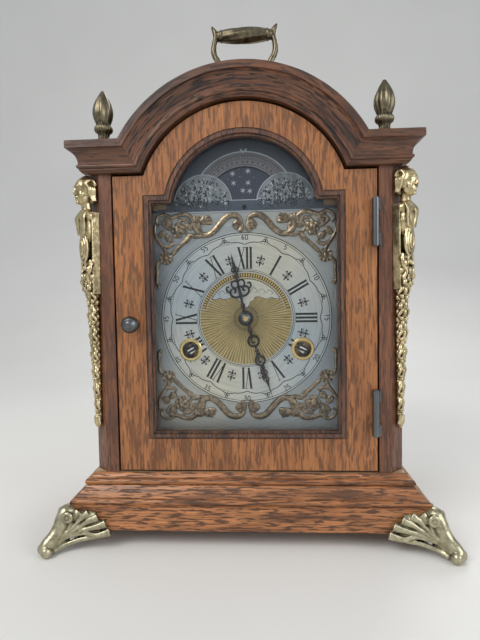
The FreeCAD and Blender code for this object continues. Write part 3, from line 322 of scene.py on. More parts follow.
# materials
def newMaterial(name, metallic=0.0, coat=0.0, ior=1.5):
    made = bpy.data.materials.new(name)
    made.use_nodes = True
    tree = made.node_tree
    tree.nodes.clear()
    out = tree.nodes.new("ShaderNodeOutputMaterial")
    shader = tree.nodes.new("ShaderNodeBsdfPrincipled")
    shader.inputs["Metallic"].default_value = metallic
    shader.inputs["Coat Weight"].default_value = coat
    shader.inputs["Coat Roughness"].default_value = 0.12
    shader.inputs["IOR"].default_value = ior
    tree.links.new(shader.outputs[0], out.inputs["Surface"])
    return made, tree, shader


def placeGroup(tree, group, values):
    made = tree.nodes.new("ShaderNodeGroup")
    made.node_tree = group
    for key, value in values.items():
        if isinstance(value, bpy.types.NodeSocket):
            tree.links.new(value, made.inputs[key])
        elif isinstance(value, tuple):
            made.inputs[key].default_value = (*value, 1)
        else:
            made.inputs[key].default_value = value
    return made


def bump(tree, shader, height, strength, distance):
    made = node(tree, "Bump", {"Strength": strength, "Distance": distance, "Height": height})
    tree.links.new(made.outputs[0], shader.inputs["Normal"])


# turn and radius about an axis that runs front to back, and the plain coordinates
def aboutAxis(tree, height):
    coords = node(tree, "TexCoord").outputs["Object"]
    polar = placeGroup(tree, groups["polar"], {"Vector": coords, "Height": height * mm})
    return polar.outputs["Turn"], polar.outputs["Radius"], node(tree, "SeparateXYZ", {0: coords})


# object coordinates turned so that the grain runs along Z; 'arch' follows the arch of the crown
def grainPlace(tree, along):
    if along == "arch":
        turn, radius, parts = aboutAxis(tree, archZ)
        made = node(tree, "CombineXYZ", {0: radius, 1: parts.outputs[1],
                                         2: mathNode(tree, "MULTIPLY", turn, 0.075)})
        return made.outputs[0]
    turns = {"z": (0, 0, 0), "x": (0, math.radians(90), 0), "y": (math.radians(90), 0, 0)}
    coords = node(tree, "TexCoord").outputs["Object"]
    return node(tree, "Mapping", {"Vector": coords, "Rotation": turns[along]}).outputs[0]


oakSettings = {
    "light": (0.36, 0.142, 0.046), "middle": (0.185, 0.058, 0.017), "dark": (0.014, 0.005, 0.003),
    "postLight": (0.19, 0.072, 0.032), "postMiddle": (0.085, 0.028, 0.012), "postDark": (0.015, 0.008, 0.007),
    "baseLight": (0.46, 0.190, 0.070), "baseMiddle": (0.215, 0.074, 0.025), "baseDark": (0.018, 0.008, 0.005),
    "crownLight": (0.165, 0.066, 0.030), "crownMiddle": (0.072, 0.026, 0.012),
    "crownDark": (0.009, 0.005, 0.004),
    "innerLight": (0.50, 0.36, 0.22), "innerMiddle": (0.36, 0.24, 0.13), "innerDark": (0.16, 0.10, 0.06),
}


def oak(name, along, tone="", figure=0.75, pores=1.0, wear=0.35, coat=0.08, bumpDepth=0.00012):
    s = oakSettings
    keys = [tone + k.capitalize() if tone else k for k in ("light", "middle", "dark")]
    made, tree, shader = newMaterial(name, coat=coat)
    grain = placeGroup(tree, groups["oak"], {"Vector": grainPlace(tree, along), "Light": s[keys[0]],
                                             "Middle": s[keys[1]],
                                             "Dark": s[keys[2]], "Figure": figure, "Pores": pores,
                                             "Wear": wear})
    tree.links.new(grain.outputs["Color"], shader.inputs["Base Color"])
    tree.links.new(grain.outputs["Roughness"], shader.inputs["Roughness"])
    shader.inputs["Coat Roughness"].default_value = 0.3
    bump(tree, shader, grain.outputs["Height"], 0.5, bumpDepth)
    return made


def cast(name, bright, aged, recess, scale=300.0, rub=0.9, polish=0.3, depth=0.00006):
    made, tree, shader = newMaterial(name, metallic=1.0)
    group = placeGroup(tree, groups["cast"], {"Bright": bright, "Aged": aged, "Recess": recess,
                                              "Scale": scale, "Rub": rub,
                                              "Polish": polish})
    tree.links.new(group.outputs["Color"], shader.inputs["Base Color"])
    tree.links.new(group.outputs["Roughness"], shader.inputs["Roughness"])
    bump(tree, shader, group.outputs["Height"], 0.4, depth)
    return made


def sheetMetal(name, base, tint, polish=0.3, amount=0.4, scale=500.0, metallic=1.0, depth=0.00002, coat=0.0):
    made, tree, shader = newMaterial(name, metallic=metallic, coat=coat)
    coords = node(tree, "TexCoord").outputs["Object"]
    group = placeGroup(tree, groups["scratches"], {"Vector": coords, "Base": base, "Tint": tint,
                                                   "Scale": scale,
                                                   "Amount": amount, "Polish": polish})
    tree.links.new(group.outputs["Color"], shader.inputs["Base Color"])
    tree.links.new(group.outputs["Roughness"], shader.inputs["Roughness"])
    bump(tree, shader, group.outputs["Height"], 0.25, depth)
    return made


# gold with fine rays struck from the hands' arbor
def sunburst():
    made, tree, shader = newMaterial("sunburst", metallic=0.85)
    turn, radius, parts = aboutAxis(tree, dialZ)
    rays = mathNode(tree, "SINE", mathNode(tree, "MULTIPLY", turn, 92.0))
    place = node(tree, "CombineXYZ", {0: mathNode(tree, "MULTIPLY", turn, 14.0),
                                      1: mathNode(tree, "MULTIPLY", radius, 60.0)})
    uneven = node(tree, "TexNoise", {"Vector": place.outputs[0], "Scale": 2.2, "Detail": 4.0})
    mask = ramp(tree, rays, [(0.0, grey(1.0)), (0.45, grey(0.0))])
    strength = mathNode(tree, "MULTIPLY", mask, ramp(tree, uneven.outputs[0],
                                                     [(0.35, grey(0.25)), (0.6, grey(0.95))]))
    base = mixColor(tree, ramp(tree, uneven.outputs[0], [(0.35, grey(0.0)), (0.65, grey(1.0))]),
                    (0.40, 0.31, 0.14), (0.66, 0.54, 0.28))
    shade = ramp(tree, mathNode(tree, "MULTIPLY", radius, 34.0), [(0.15, grey(0.62)), (0.55, grey(1.0))])
    lined = mixColor(tree, strength, base, (0.20, 0.15, 0.065))
    tree.links.new(mixColor(tree, 1.0, lined, shade, "MULTIPLY"), shader.inputs["Base Color"])
    shader.inputs["Roughness"].default_value = 0.36
    bump(tree, shader, rays, 0.3, 0.00003)
    return made


# silvered brass, brushed round the arbor, with a painted warm and cool sheen that stands in for reflections;
# above is the colour over the arch line
def silvered(name, pale, warm, cool, above=None):
    made, tree, shader = newMaterial(name, metallic=0.35)
    turn, radius, parts = aboutAxis(tree, dialZ)
    # painted reflection: warm and cool tints by the angle round the arbor stand in for the sheen of the brushed
    # metal
    paintedSheen = mathNode(tree, "COSINE", mathNode(tree, "MULTIPLY_ADD", turn, 2.0, -0.9))
    place = node(tree, "CombineXYZ", {0: mathNode(tree, "MULTIPLY", turn, 3.0),
                                      1: mathNode(tree, "MULTIPLY", radius, 900.0)})
    brush = node(tree, "TexNoise", {"Vector": place.outputs[0], "Scale": 1.0, "Detail": 3.0})
    sheenTinted = mixColor(tree, ramp(tree, paintedSheen, [(0.35, grey(0.0)), (1.0, grey(0.85))]), pale, warm)
    sheenTinted = mixColor(tree, ramp(tree, mathNode(tree, "MULTIPLY", paintedSheen, -1.0),
                                 [(0.2, grey(0.0)), (1.0, grey(0.8))]), sheenTinted, cool)
    brushed = mixColor(tree, 1.0, sheenTinted, ramp(tree, brush.outputs[0],
                                               [(0.3, grey(0.86)), (0.7, grey(1.08))]), "MULTIPLY")
    if above:
        over = ramp(tree, mathNode(tree, "MULTIPLY_ADD", parts.outputs[2], 1 / mm, -lineZ),
                    [(0.0, grey(0.0)), (0.8, grey(1.0))])
        brushed = mixColor(tree, over, brushed, above)
    tree.links.new(brushed, shader.inputs["Base Color"])
    shader.inputs["Roughness"].default_value = 0.38
    bump(tree, shader, brush.outputs[0], 0.2, 0.00002)
    return made


def clearGlass():
    made, tree, shader = newMaterial("windowGlass", ior=1.3)
    shader.inputs["Base Color"].default_value = (0.99, 0.995, 0.995, 1)
    shader.inputs["Transmission Weight"].default_value = 1.0
    coords = node(tree, "TexCoord").outputs["Object"]
    smear = node(tree, "TexNoise", {"Vector": coords, "Scale": 40.0, "Detail": 3.0})
    tree.links.new(mathNode(tree, "MULTIPLY_ADD", smear.outputs[0], 0.004, 0.0), shader.inputs["Roughness"])
    return made


materials = {
    "doorOak": oak("doorOak", "z"),
    "postOak": oak("postOak", "z", "post", figure=0.9),
    "sideOak": oak("sideOak", "z", figure=0.9),
    "roofOak": oak("roofOak", "y", "crown", wear=0.2),
    "baseOak": oak("baseOak", "x", "base", wear=0.12),
    "baseSideOak": oak("baseSideOak", "y", "base", wear=0.12),
    "crownOak": oak("crownOak", "arch", "crown", wear=0.3, coat=0.15),
    "crownFlatOak": oak("crownFlatOak", "x", "crown", wear=0.3, coat=0.15),
    "beadOak": oak("beadOak", "z", "crown", wear=0.2, coat=0.35),
    "innerWood": oak("innerWood", "x", "inner", figure=0.3, pores=0.4, wear=0.0, coat=0.0),
    "gilt": cast("gilt", (0.70, 0.58, 0.35), (0.30, 0.235, 0.115), (0.014, 0.011, 0.008), 260.0, polish=0.20),
    "antique": cast("antique", (0.23, 0.195, 0.125), (0.062, 0.051, 0.033), (0.008, 0.007, 0.005), 320.0,
                    polish=0.26),
    "feetBrass": cast("feetBrass", (0.62, 0.57, 0.40), (0.27, 0.24, 0.14), (0.012, 0.011, 0.007), 300.0,
                      polish=0.22),
    "dialCasting": cast("dialCasting", (0.38, 0.30, 0.20), (0.040, 0.030, 0.021), (0.004, 0.003, 0.003),
                        420.0, polish=0.22),
    "brass": sheetMetal("brass", (0.72, 0.55, 0.25), (0.55, 0.40, 0.16), polish=0.25),
    "steel": sheetMetal("steel", (0.50, 0.50, 0.50), (0.34, 0.34, 0.34), polish=0.25),
    "arborSteel": sheetMetal("arborSteel", (0.78, 0.78, 0.76), (0.60, 0.60, 0.58), polish=0.35,
                             metallic=0.35),
    "darkSteel": sheetMetal("darkSteel", (0.16, 0.165, 0.17), (0.08, 0.08, 0.085), polish=0.3),
    "blackSteel": sheetMetal("blackSteel", (0.006, 0.006, 0.007), (0.014, 0.014, 0.015), polish=0.34,
                             metallic=0.0),
    "glass": clearGlass(),
    "bellMetal": sheetMetal("bellMetal", (0.66, 0.58, 0.42), (0.5, 0.42, 0.28), polish=0.18),
    "silver": silvered("silver", (0.56, 0.59, 0.57), (0.64, 0.62, 0.50), (0.42, 0.50, 0.55)),
    "plate": silvered("plate", (0.40, 0.44, 0.45), (0.46, 0.47, 0.43), (0.28, 0.32, 0.36),
                      above=(0.075, 0.095, 0.125)),
    "etched": sheetMetal("etched", (0.46, 0.52, 0.56), (0.34, 0.40, 0.44), polish=0.35, amount=0.3,
                         metallic=0.4),
    "humpSilver": sheetMetal("humpSilver", (0.30, 0.335, 0.36), (0.13, 0.15, 0.17), polish=0.4, amount=0.8,
                             scale=260.0, metallic=0.3),
    "sunburst": sunburst(),
    "moonBlue": sheetMetal("moonBlue", (0.022, 0.032, 0.062), (0.03, 0.045, 0.08), polish=0.35, metallic=0.0,
                           coat=0.4),
    "dashGold": sheetMetal("dashGold", (0.62, 0.46, 0.16), (0.45, 0.32, 0.10), polish=0.35),
    "scaleMetal": sheetMetal("scaleMetal", (0.20, 0.20, 0.215), (0.13, 0.125, 0.13), polish=0.4,
                             metallic=0.3),
    "starSilver": sheetMetal("starSilver", (0.50, 0.53, 0.56), (0.4, 0.42, 0.45), polish=0.4, metallic=0.2),
    "ink": sheetMetal("ink", (0.006, 0.006, 0.008), (0.015, 0.015, 0.016), polish=0.55, metallic=0.0),
}
print(len(materials), "materials made")


def dress(material, *names):
    for name in names:
        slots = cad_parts[name].data.materials
        if len(slots) == 0:
            slots.append(materials[material])
        for i in range(len(slots)):
            slots[i] = materials[material]


dress("doorOak", "front_door_frame")
dress("postOak", "corner_posts")
dress("sideOak", "side_panels", "back_frame", "rear_door")
dress("roofOak", "barrel_roof", "shoulder_boards")
dress("baseOak", "base_moulding_front")
dress("baseSideOak", "base_moulding_sides")
dress("crownOak", "crown_arch", "head_board")
dress("crownFlatOak", "crown_returns")
dress("beadOak", "glazing_bead")
dress("baseOak", "base_rails")
dress("innerWood", "base_board", "dial_frame")
dress("gilt", "corner_figures")
dress("antique", "handle", "handle_posts", "finials")
dress("feetBrass", "front_feet", "rear_feet")
dress("dialCasting", "corner_ornaments")
dress("brass", "glass_retainer", "door_catch", "rear_hinge_case_leaves", "rear_hinge_door_leaves",
      "rear_hinge_pins",
      "rear_door_knob", "movement_frame", "going_barrel", "strike_barrel", "second_wheel", "center_wheel",
      "third_wheel",
      "escape_wheel", "balance_wheel", "minute_wheel", "hour_wheel", "pin_wheel", "warning_wheel", "fly",
      "winding_collets")
dress("steel", "pallet_lever", "hammer")
dress("arborSteel", "going_winding_arbor", "strike_winding_arbor")
dress("darkSteel", "hand_nut", "door_knob", "front_hinge_case_leaves", "front_hinge_door_leaves",
      "front_hinge_pins")
dress("blackSteel", "hour_hand", "minute_hand")
dress("glass", "door_glass")
dress("bellMetal", "bells")
dress("silver", "chapter_ring")
dress("sunburst", "dial_center")
dress("plate", "dial_plate")
dress("moonBlue", "moon_disc")


# mesh tools; sizes in millimetres
def newShape():
    return {"verts": [], "faces": []}


# points on a smooth curve through the given ones; every point may carry a radius as its last value
def smoothPath(points, steps=6):
    result = []
    last = len(points) - 1
    for i in range(last):
        p0, p1, p2, p3 = points[max(i - 1, 0)], points[i], points[i + 1], points[min(i + 2, last)]
        for k in range(steps):
            t = k / steps
            result.append(tuple(
                0.5 * (2 * b + (c - a) * t + (2 * a - 5 * b + 4 * c - d) * t * t + (3 * b - a - 3 * c + d) * t ** 3)
                for a, b, c, d in zip(p0, p1, p2, p3)))
    result.append(tuple(points[-1]))
    return result


# round rod along a smooth path of (x, y, z, radius); flat squashes its section along the axes
def addTube(shape, points, sides=8, flat=(1.0, 1.0, 1.0), steps=6):
    path = smoothPath(points, steps)
    start = len(shape["verts"])
    normal = None
    for i, p in enumerate(path):
        here = Vector(p[:3])
        before, after = Vector(path[max(i - 1, 0)][:3]), Vector(path[min(i + 1, len(path) - 1)][:3])
        along = after - before
        along = along.normalized() if along.length > 1e-9 else Vector((0, 0, 1))
        if normal is None:
            guess = Vector((0, 1, 0)) if abs(along.y) < 0.9 else Vector((1, 0, 0))
            normal = (guess - along * guess.dot(along)).normalized()
        else:
            normal = (normal - along * normal.dot(along)).normalized()
        other = along.cross(normal)
        for k in range(sides):
            turn = 2 * math.pi * k / sides
            out = (normal * math.cos(turn) + other * math.sin(turn)) * max(p[3], 0.02)
            shape["verts"].append((here.x + out.x * flat[0], here.y + out.y * flat[1],
                                   here.z + out.z * flat[2]))
    for i in range(len(path) - 1):
        for k in range(sides):
            a, b = start + i * sides + k, start + i * sides + (k + 1) % sides
            shape["faces"].append((a, b, b + sides, a + sides))
    shape["faces"].append(tuple(start + k for k in reversed(range(sides))))
    end = start + (len(path) - 1) * sides
    shape["faces"].append(tuple(end + k for k in range(sides)))


# ellipsoid, turned by angles in degrees
def addBlob(shape, center, radii, turn=(0, 0, 0), across=12, down=8):
    start = len(shape["verts"])
    spin = Matrix.Rotation(math.radians(turn[2]), 3, "Z") @ Matrix.Rotation(math.radians(turn[1]), 3, "Y") @ \
        Matrix.Rotation(math.radians(turn[0]), 3, "X")
    for i in range(1, down):
        polar = math.pi * i / down
        for k in range(across):
            turnAt = 2 * math.pi * k / across
            p = Vector((radii[0] * math.sin(polar) * math.cos(turnAt),
                        radii[1] * math.sin(polar) * math.sin(turnAt),
                        radii[2] * math.cos(polar)))
            p = spin @ p
            shape["verts"].append((center[0] + p.x, center[1] + p.y, center[2] + p.z))
    top, bottom = len(shape["verts"]), len(shape["verts"]) + 1
    for sign in (1, -1):
        p = spin @ Vector((0, 0, sign * radii[2]))
        shape["verts"].append((center[0] + p.x, center[1] + p.y, center[2] + p.z))
    for k in range(across):
        n = (k + 1) % across
        shape["faces"].append((top, start + k, start + n))
        for i in range(down - 2):
            a, b = start + i * across + k, start + i * across + n
            shape["faces"].append((a, a + across, b + across, b))
        last = start + (down - 2) * across
        shape["faces"].append((bottom, last + n, last + k))


# plate with an outline in the front view, from y0 (front) to y1
def addPlate(shape, corners, y0, y1):
    start, count = len(shape["verts"]), len(corners)
    for y in (y0, y1):
        shape["verts"] += [(x, y, z) for x, z in corners]
    shape["faces"].append(tuple(start + i for i in range(count)))
    shape["faces"].append(tuple(start + count + i for i in reversed(range(count))))
    for i in range(count):
        n = (i + 1) % count
        shape["faces"].append((start + n, start + i, start + count + i, start + count + n))


# flat line in the front view; width is a number or a list of one per point
def addRibbon(shape, points, width, y, thick=0.05):
    widths = width if isinstance(width, list) else [width] * len(points)
    left, right = [], []
    for i, (x, z) in enumerate(points):
        x0, z0 = points[max(i - 1, 0)]
        x1, z1 = points[min(i + 1, len(points) - 1)]
        length = math.hypot(x1 - x0, z1 - z0) or 1.0
        nx, nz = -(z1 - z0) / length * widths[i] / 2, (x1 - x0) / length * widths[i] / 2
        left.append((x + nx, z + nz))
        right.append((x - nx, z - nz))
    start, count = len(shape["verts"]), len(points)
    for side in (left, right):
        shape["verts"] += [(x, y, z) for x, z in side]
    for side in (left, right):
        shape["verts"] += [(x, y + thick, z) for x, z in side]
    for i in range(count - 1):
        a, b = start + i, start + count + i
        shape["faces"].append((a, a + 1, b + 1, b))
        c, d = a + 2 * count, b + 2 * count
        shape["faces"].append((a + 1, a, c, c + 1))
        shape["faces"].append((b, b + 1, d + 1, d))
    shape["faces"].append((start, start + count, start + 3 * count, start + 2 * count))
    end = count - 1
    shape["faces"].append((start + count + end, start + end, start + 2 * count + end,
                           start + 3 * count + end))


# turned form; profile holds radius and height, wave(turn, height) scales the radius
def addTurned(shape, profile, place, sides=48, wave=None, axis="z"):
    start = len(shape["verts"])
    for r, h in profile:
        for k in range(sides):
            turn = 2 * math.pi * k / sides
            radius = max(r, 0.01) * (wave(turn, h) if wave else 1.0)
            a, b = radius * math.cos(turn), radius * math.sin(turn)
            local = {"z": (a, b, h), "y": (a, h, -b), "x": (h, a, b)}[axis]
            shape["verts"].append(tuple(p + q for p, q in zip(place, local)))
    for i in range(len(profile) - 1):
        for k in range(sides):
            a, b = start + i * sides + k, start + i * sides + (k + 1) % sides
            shape["faces"].append((a, b, b + sides, a + sides))
    shape["faces"].append(tuple(start + k for k in reversed(range(sides))))
    end = start + (len(profile) - 1) * sides
    shape["faces"].append(tuple(end + k for k in range(sides)))


# the same faces with every point changed; a mirror image is turned right side out again
def moved(shape, change):
    a, b, c, d = [Vector(change(Vector(p))) for p in ((0, 0, 0), (1, 0, 0), (0, 1, 0), (0, 0, 1))]
    mirrored = (b - a).cross(c - a).dot(d - a) < 0
    faces = [tuple(reversed(f)) for f in shape["faces"]] if mirrored else list(shape["faces"])
    return {"verts": [tuple(change(Vector(v))) for v in shape["verts"]], "faces": faces}


def joined(*shapes):
    whole = newShape()
    for shape in shapes:
        start = len(whole["verts"])
        whole["verts"] += shape["verts"]
        whole["faces"] += [tuple(i + start for i in f) for f in shape["faces"]]
    return whole


# mesh object on a body; voxel fuses overlapping forms into one skin, rough gives it a cast surface
def makeObject(name, shape, material, body, smooth=True, voxel=None, soften=0, rough=0.0, shell=None):
    mesh = bpy.data.meshes.new(name)
    mesh.from_pydata([(x * mm, y * mm, z * mm) for x, y, z in shape["verts"]], [], shape["faces"])
    mesh.validate()
    mesh.update()
    made = bpy.data.objects.new(name, mesh)
    bpy.context.scene.collection.objects.link(made)
    if voxel:
        cast = made.modifiers.new("cast", "REMESH")
        cast.mode = "VOXEL"
        cast.voxel_size = voxel * mm
        if soften:
            file = made.modifiers.new("file", "SMOOTH")
            file.iterations = soften
            file.factor = 0.5
        bpy.context.view_layer.update()
        solid = made.evaluated_get(bpy.context.evaluated_depsgraph_get())
        fused = bpy.data.meshes.new_from_object(solid)
        made.modifiers.clear()
        made.data = fused
        mesh = fused
    if shell or rough:
        places = [v.co.copy() for v in mesh.vertices]
        if rough:
            normals = [v.normal.copy() for v in mesh.vertices]
            places = [p + n * noise.noise(p * castGrain) * rough * mm for p, n in zip(places, normals)]
        if shell:
            places = [Vector(shell(p / mm)) * mm for p in places]
        mesh.vertices.foreach_set("co", [c for p in places for c in p])
        mesh.update()
    mesh.materials.clear()
    mesh.materials.append(materials[material])
    for polygon in mesh.polygons:
        polygon.use_smooth = smooth
    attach(made, body)
    return made


# point of the dial; the angle is clockwise from twelve
def spot(radius, degrees, center=(0.0, dialZ)):
    turn = math.radians(degrees)
    return (center[0] + radius * math.sin(turn), center[1] + radius * math.cos(turn))


def arc(radius, start, end, center=(0.0, dialZ), steps=None):
    steps = steps or max(4, int(abs(end - start) / 3))
    return [spot(radius, start + (end - start) * i / steps, center) for i in range(steps + 1)]


# points of a small drawing, (across, outward), set at a radius and an angle of the dial
def turnedAbout(points, degrees, radius, center=(0.0, dialZ)):
    turn = math.radians(degrees)
    result = []
    for u, v in points:
        x, z = u, radius + v
        result.append((center[0] + x * math.cos(turn) + z * math.sin(turn),
                       center[1] - x * math.sin(turn) + z * math.cos(turn)))
    return result


# chapter ring: circles, numerals, minute numbers, wavy line and small ornaments
ringSettings = {
    "front": chapterFront - 0.03, "circles": ((54.2, 0.55), (52.9, 0.34), (30.0, 0.42), (31.0, 0.28)),
    "numeralInner": 31.6, "numeralOuter": 45.0, "thick": 1.35, "thin": 0.42, "serif": 0.32, "spacing": 2.35,
    "waveRadius": 48.0, "minuteRadius": 51.35, "minuteHeight": 3.1, "fleurRadius": 37.6,
}
romans = ("XII", "I", "II", "III", "IV", "V", "VI", "VII", "VIII", "IX", "X", "XI")
digitStrokes = {
    "0": [[(0.5, 1), (0.12, 0.78), (0.08, 0.22), (0.5, 0), (0.92, 0.22), (0.88, 0.78), (0.5, 1)]],
    "1": [[(0.25, 0.8), (0.55, 1), (0.55, 0)]],
    "2": [[(0.1, 0.78), (0.35, 1), (0.8, 0.92), (0.82, 0.65), (0.1, 0.0), (0.9, 0.0)]],
    "3": [[(0.12, 0.88), (0.5, 1), (0.85, 0.8), (0.45, 0.55), (0.9, 0.28), (0.5, 0), (0.08, 0.14)]],
    "4": [[(0.72, 0), (0.72, 1), (0.06, 0.3), (0.95, 0.3)]],
    "5": [[(0.85, 1), (0.22, 1), (0.16, 0.55), (0.6, 0.62), (0.9, 0.32), (0.55, 0), (0.1, 0.1)]],
    "6": [[(0.8, 0.95), (0.35, 0.85), (0.1, 0.35), (0.45, 0), (0.88, 0.25), (0.55, 0.55), (0.14, 0.35)]],
}


# bars of one Roman numeral, as (points, width) with points across and outward from the middle
def numeralStrokes(text, s):
    height = s["numeralOuter"] - s["numeralInner"]
    low, high = -height / 2, height / 2
    widths = {"I": s["spacing"], "V": 4.6, "X": 5.0}
    total = sum(widths[c] for c in text)
    at = -total / 2
    bars = []
    for c in text:
        w = widths[c]
        mid = at + w / 2
        if c == "I":
            bars.append(([(mid, low), (mid, high)], s["thick"]))
            feet = [(mid, low), (mid, high)]
        elif c == "V":
            bars.append(([(mid - w / 2 + 0.7, high), (mid, low)], s["thick"]))
            bars.append(([(mid + w / 2 - 0.5, high), (mid, low)], s["thin"]))
            feet = [(mid - w / 2 + 0.7, high), (mid + w / 2 - 0.5, high)]
        else:
            bars.append(([(mid - w / 2 + 0.8, high), (mid + w / 2 - 0.8, low)], s["thick"]))
            bars.append(([(mid + w / 2 - 0.6, high), (mid - w / 2 + 0.6, low)], s["thin"]))
            feet = [(mid - w / 2 + 0.8, high), (mid + w / 2 - 0.8, low), (mid + w / 2 - 0.6, high),
                    (mid - w / 2 + 0.6, low)]
        for u, v in feet:
            bars.append(([(u - 1.05, v), (u + 1.05, v)], s["serif"]))
        at += w
    return bars


def drawRing(s):
    ink = newShape()
    y = s["front"]
    for radius, width in s["circles"]:
        addRibbon(ink, arc(radius, 0, 360, steps=120), width, y)
    middle = (s["numeralInner"] + s["numeralOuter"]) / 2
    for hour, text in enumerate(romans):
        for points, width in numeralStrokes(text, s):
            addRibbon(ink, turnedAbout(points, hour * 30, middle), width, y)
    for step in range(1, 13):
        number = str(step * 5)
        degrees = step * 30
        flip = 90 < degrees < 270
        h = s["minuteHeight"]
        w = h * 0.56
        start = -(len(number) * w + (len(number) - 1) * w * 0.3) / 2
        for k, digit in enumerate(number):
            for line in digitStrokes[digit]:
                points = [(start + k * w * 1.3 + u * w, (v - 0.5) * h) for u, v in line]
                if len(line) > 4:
                    points = smoothPath(points, 3)
                if flip:
                    points = [(-u, -v) for u, v in points]
                addRibbon(ink, turnedAbout(points, degrees, s["minuteRadius"]), 0.5, y)
    wave = []
    for i in range(721):
        degrees = i * 0.5
        swing = -1.15 * math.cos(math.radians(12 * degrees)) + 0.75 * abs(math.sin(math.radians(18 * degrees)))
        wave.append(spot(s["waveRadius"] + swing, degrees))
    addRibbon(ink, wave, 0.5, y)
    for i in range(12):
        at = i * 30 + 15
        for turn in (0, 120, 240):
            loop = [(0.95 * math.sin(math.radians(turn)) + 0.72 * math.cos(math.radians(k * 45)),
                     0.95 * math.cos(math.radians(turn)) + 0.72 * math.sin(math.radians(k * 45))) for k in range(9)]
            addRibbon(ink, turnedAbout(loop, at, 50.9), 0.4, y)
        addRibbon(ink, turnedAbout([(0, -3.0), (0, 0)], at, 50.9), 0.32, y)
        for side in (-1, 1):
            addRibbon(ink, turnedAbout([(side * 0.8, -2.9), (side * 2.0, -2.2), (side * 2.9, -3.1)], at,
                                       50.9), 0.26, y)
        for end in (-1, 1):
            for side in (-1, 1):
                curl = smoothPath([(0, end * 0.5), (side * 0.9, end * 1.3), (side * 1.9, end * 1.9),
                                   (side * 2.3, end * 1.1), (side * 1.6, end * 0.8)], 4)
                widths = [0.32 + 0.35 * math.sin(math.pi * k / (len(curl) - 1)) for k in range(len(curl))]
                addRibbon(ink, turnedAbout(curl, at, s["fleurRadius"]), widths, y)
            leaf = [(0, end * 0.4), (0, end * 1.6), (0, end * 2.8), (0, end * 4.0)]
            addRibbon(ink, turnedAbout(leaf, at, s["fleurRadius"]), [0.3, 1.15, 0.85, 0.1], y)
        addRibbon(ink, turnedAbout([(-1.6, 0), (1.6, 0)], at, s["fleurRadius"]), 0.45, y)
    makeObject("ring_engraving", ink, "ink", "case", smooth=False)


drawRing(ringSettings)


# middle of the dial: dashed gold band, rings and the plain silver cartouche
middleSettings = {"front": chapterFront + 0.2 - 0.03, "dashInner": 26.6, "dashOuter": 28.7, "dashes": 46,
                  "spread": 74}


def drawMiddle(s):
    y = s["front"]
    gold, ink, silver = newShape(), newShape(), newShape()
    for i in range(s["dashes"]):
        degrees = -s["spread"] + 2 * s["spread"] * i / (s["dashes"] - 1)
        addRibbon(gold, [spot(s["dashInner"], degrees), spot(s["dashOuter"], degrees)], 0.95, y - 0.02)
    addRibbon(ink, arc((s["dashInner"] + s["dashOuter"]) / 2, -s["spread"] - 2, s["spread"] + 2), 2.7, y)
    for radius, width in ((25.9, 0.3), (29.0, 0.25)):
        addRibbon(silver, arc(radius, -s["spread"] - 2, s["spread"] + 2), width, y - 0.03)
    for radius, width in ((7.6, 0.35), (6.6, 0.2)):
        addRibbon(ink, arc(radius, 0, 360, steps=60), width, y)
    half = [(0.0, 6.8), (1.9, 8.0), (2.9, 10.3), (4.8, 11.3), (5.9, 13.3), (8.4, 13.6), (11.2, 12.7),
            (14.2, 12.2), (16.4, 13.2), (18.8, 12.3), (21.6, 12.4)]
    lower = smoothPath([(-x, z) for x, z in reversed(half)] + half[1:], 4)
    lower = [(x, z + dialZ) for x, z in lower]
    upper = arc(25.0, -60, 60)
    addPlate(silver, upper + list(reversed(lower)), y - 0.02, y + 0.02)
    addRibbon(ink, lower, 0.32, y - 0.05)
    addRibbon(ink, arc(25.0, -60, 60), 0.3, y - 0.05)
    for side in (-1, 1):
        for k in range(3):
            curl = smoothPath([(side * (3 + 5 * k), 17.0 - k * 0.6), (side * (5 + 5 * k), 19.6 - k * 0.9),
                               (side * (7.4 + 5 * k), 17.6 - k * 0.8), (side * (6 + 5 * k), 16.2 - k * 0.6)],
                               5)
            addRibbon(ink, [(x, z + dialZ) for x, z in curl], 0.24, y - 0.05)
    makeObject("dial_gold_dashes", gold, "dashGold", "case", smooth=False)
    makeObject("dial_lines", ink, "ink", "case", smooth=False)
    makeObject("dial_cartouche", silver, "silver", "case", smooth=False)


drawMiddle(middleSettings)
print("dial engraved")


# arch of the dial: lunar scale, rims, foliage on the humps, stars on the moon disc
archSettings = {"front": dialFront - 0.03, "rim": 33.0, "scaleInner": 24.4, "humpRadius": 18.6, "humpX": 26.2,
                "humpRise": 1.5,
                "foot": 3.6}


# largest angle at which a circle about the moon's pivot is still outside the humps
def windowArc(radius, s, margin=0.0):
    for step in range(900):
        degrees = 90 - step * 0.1
        x, z = spot(radius, degrees, (0, 0))
        if math.hypot(x - s["humpX"], z - s["humpRise"]) > s["humpRadius"] + margin and z > s["foot"]:
            return degrees
    return 0


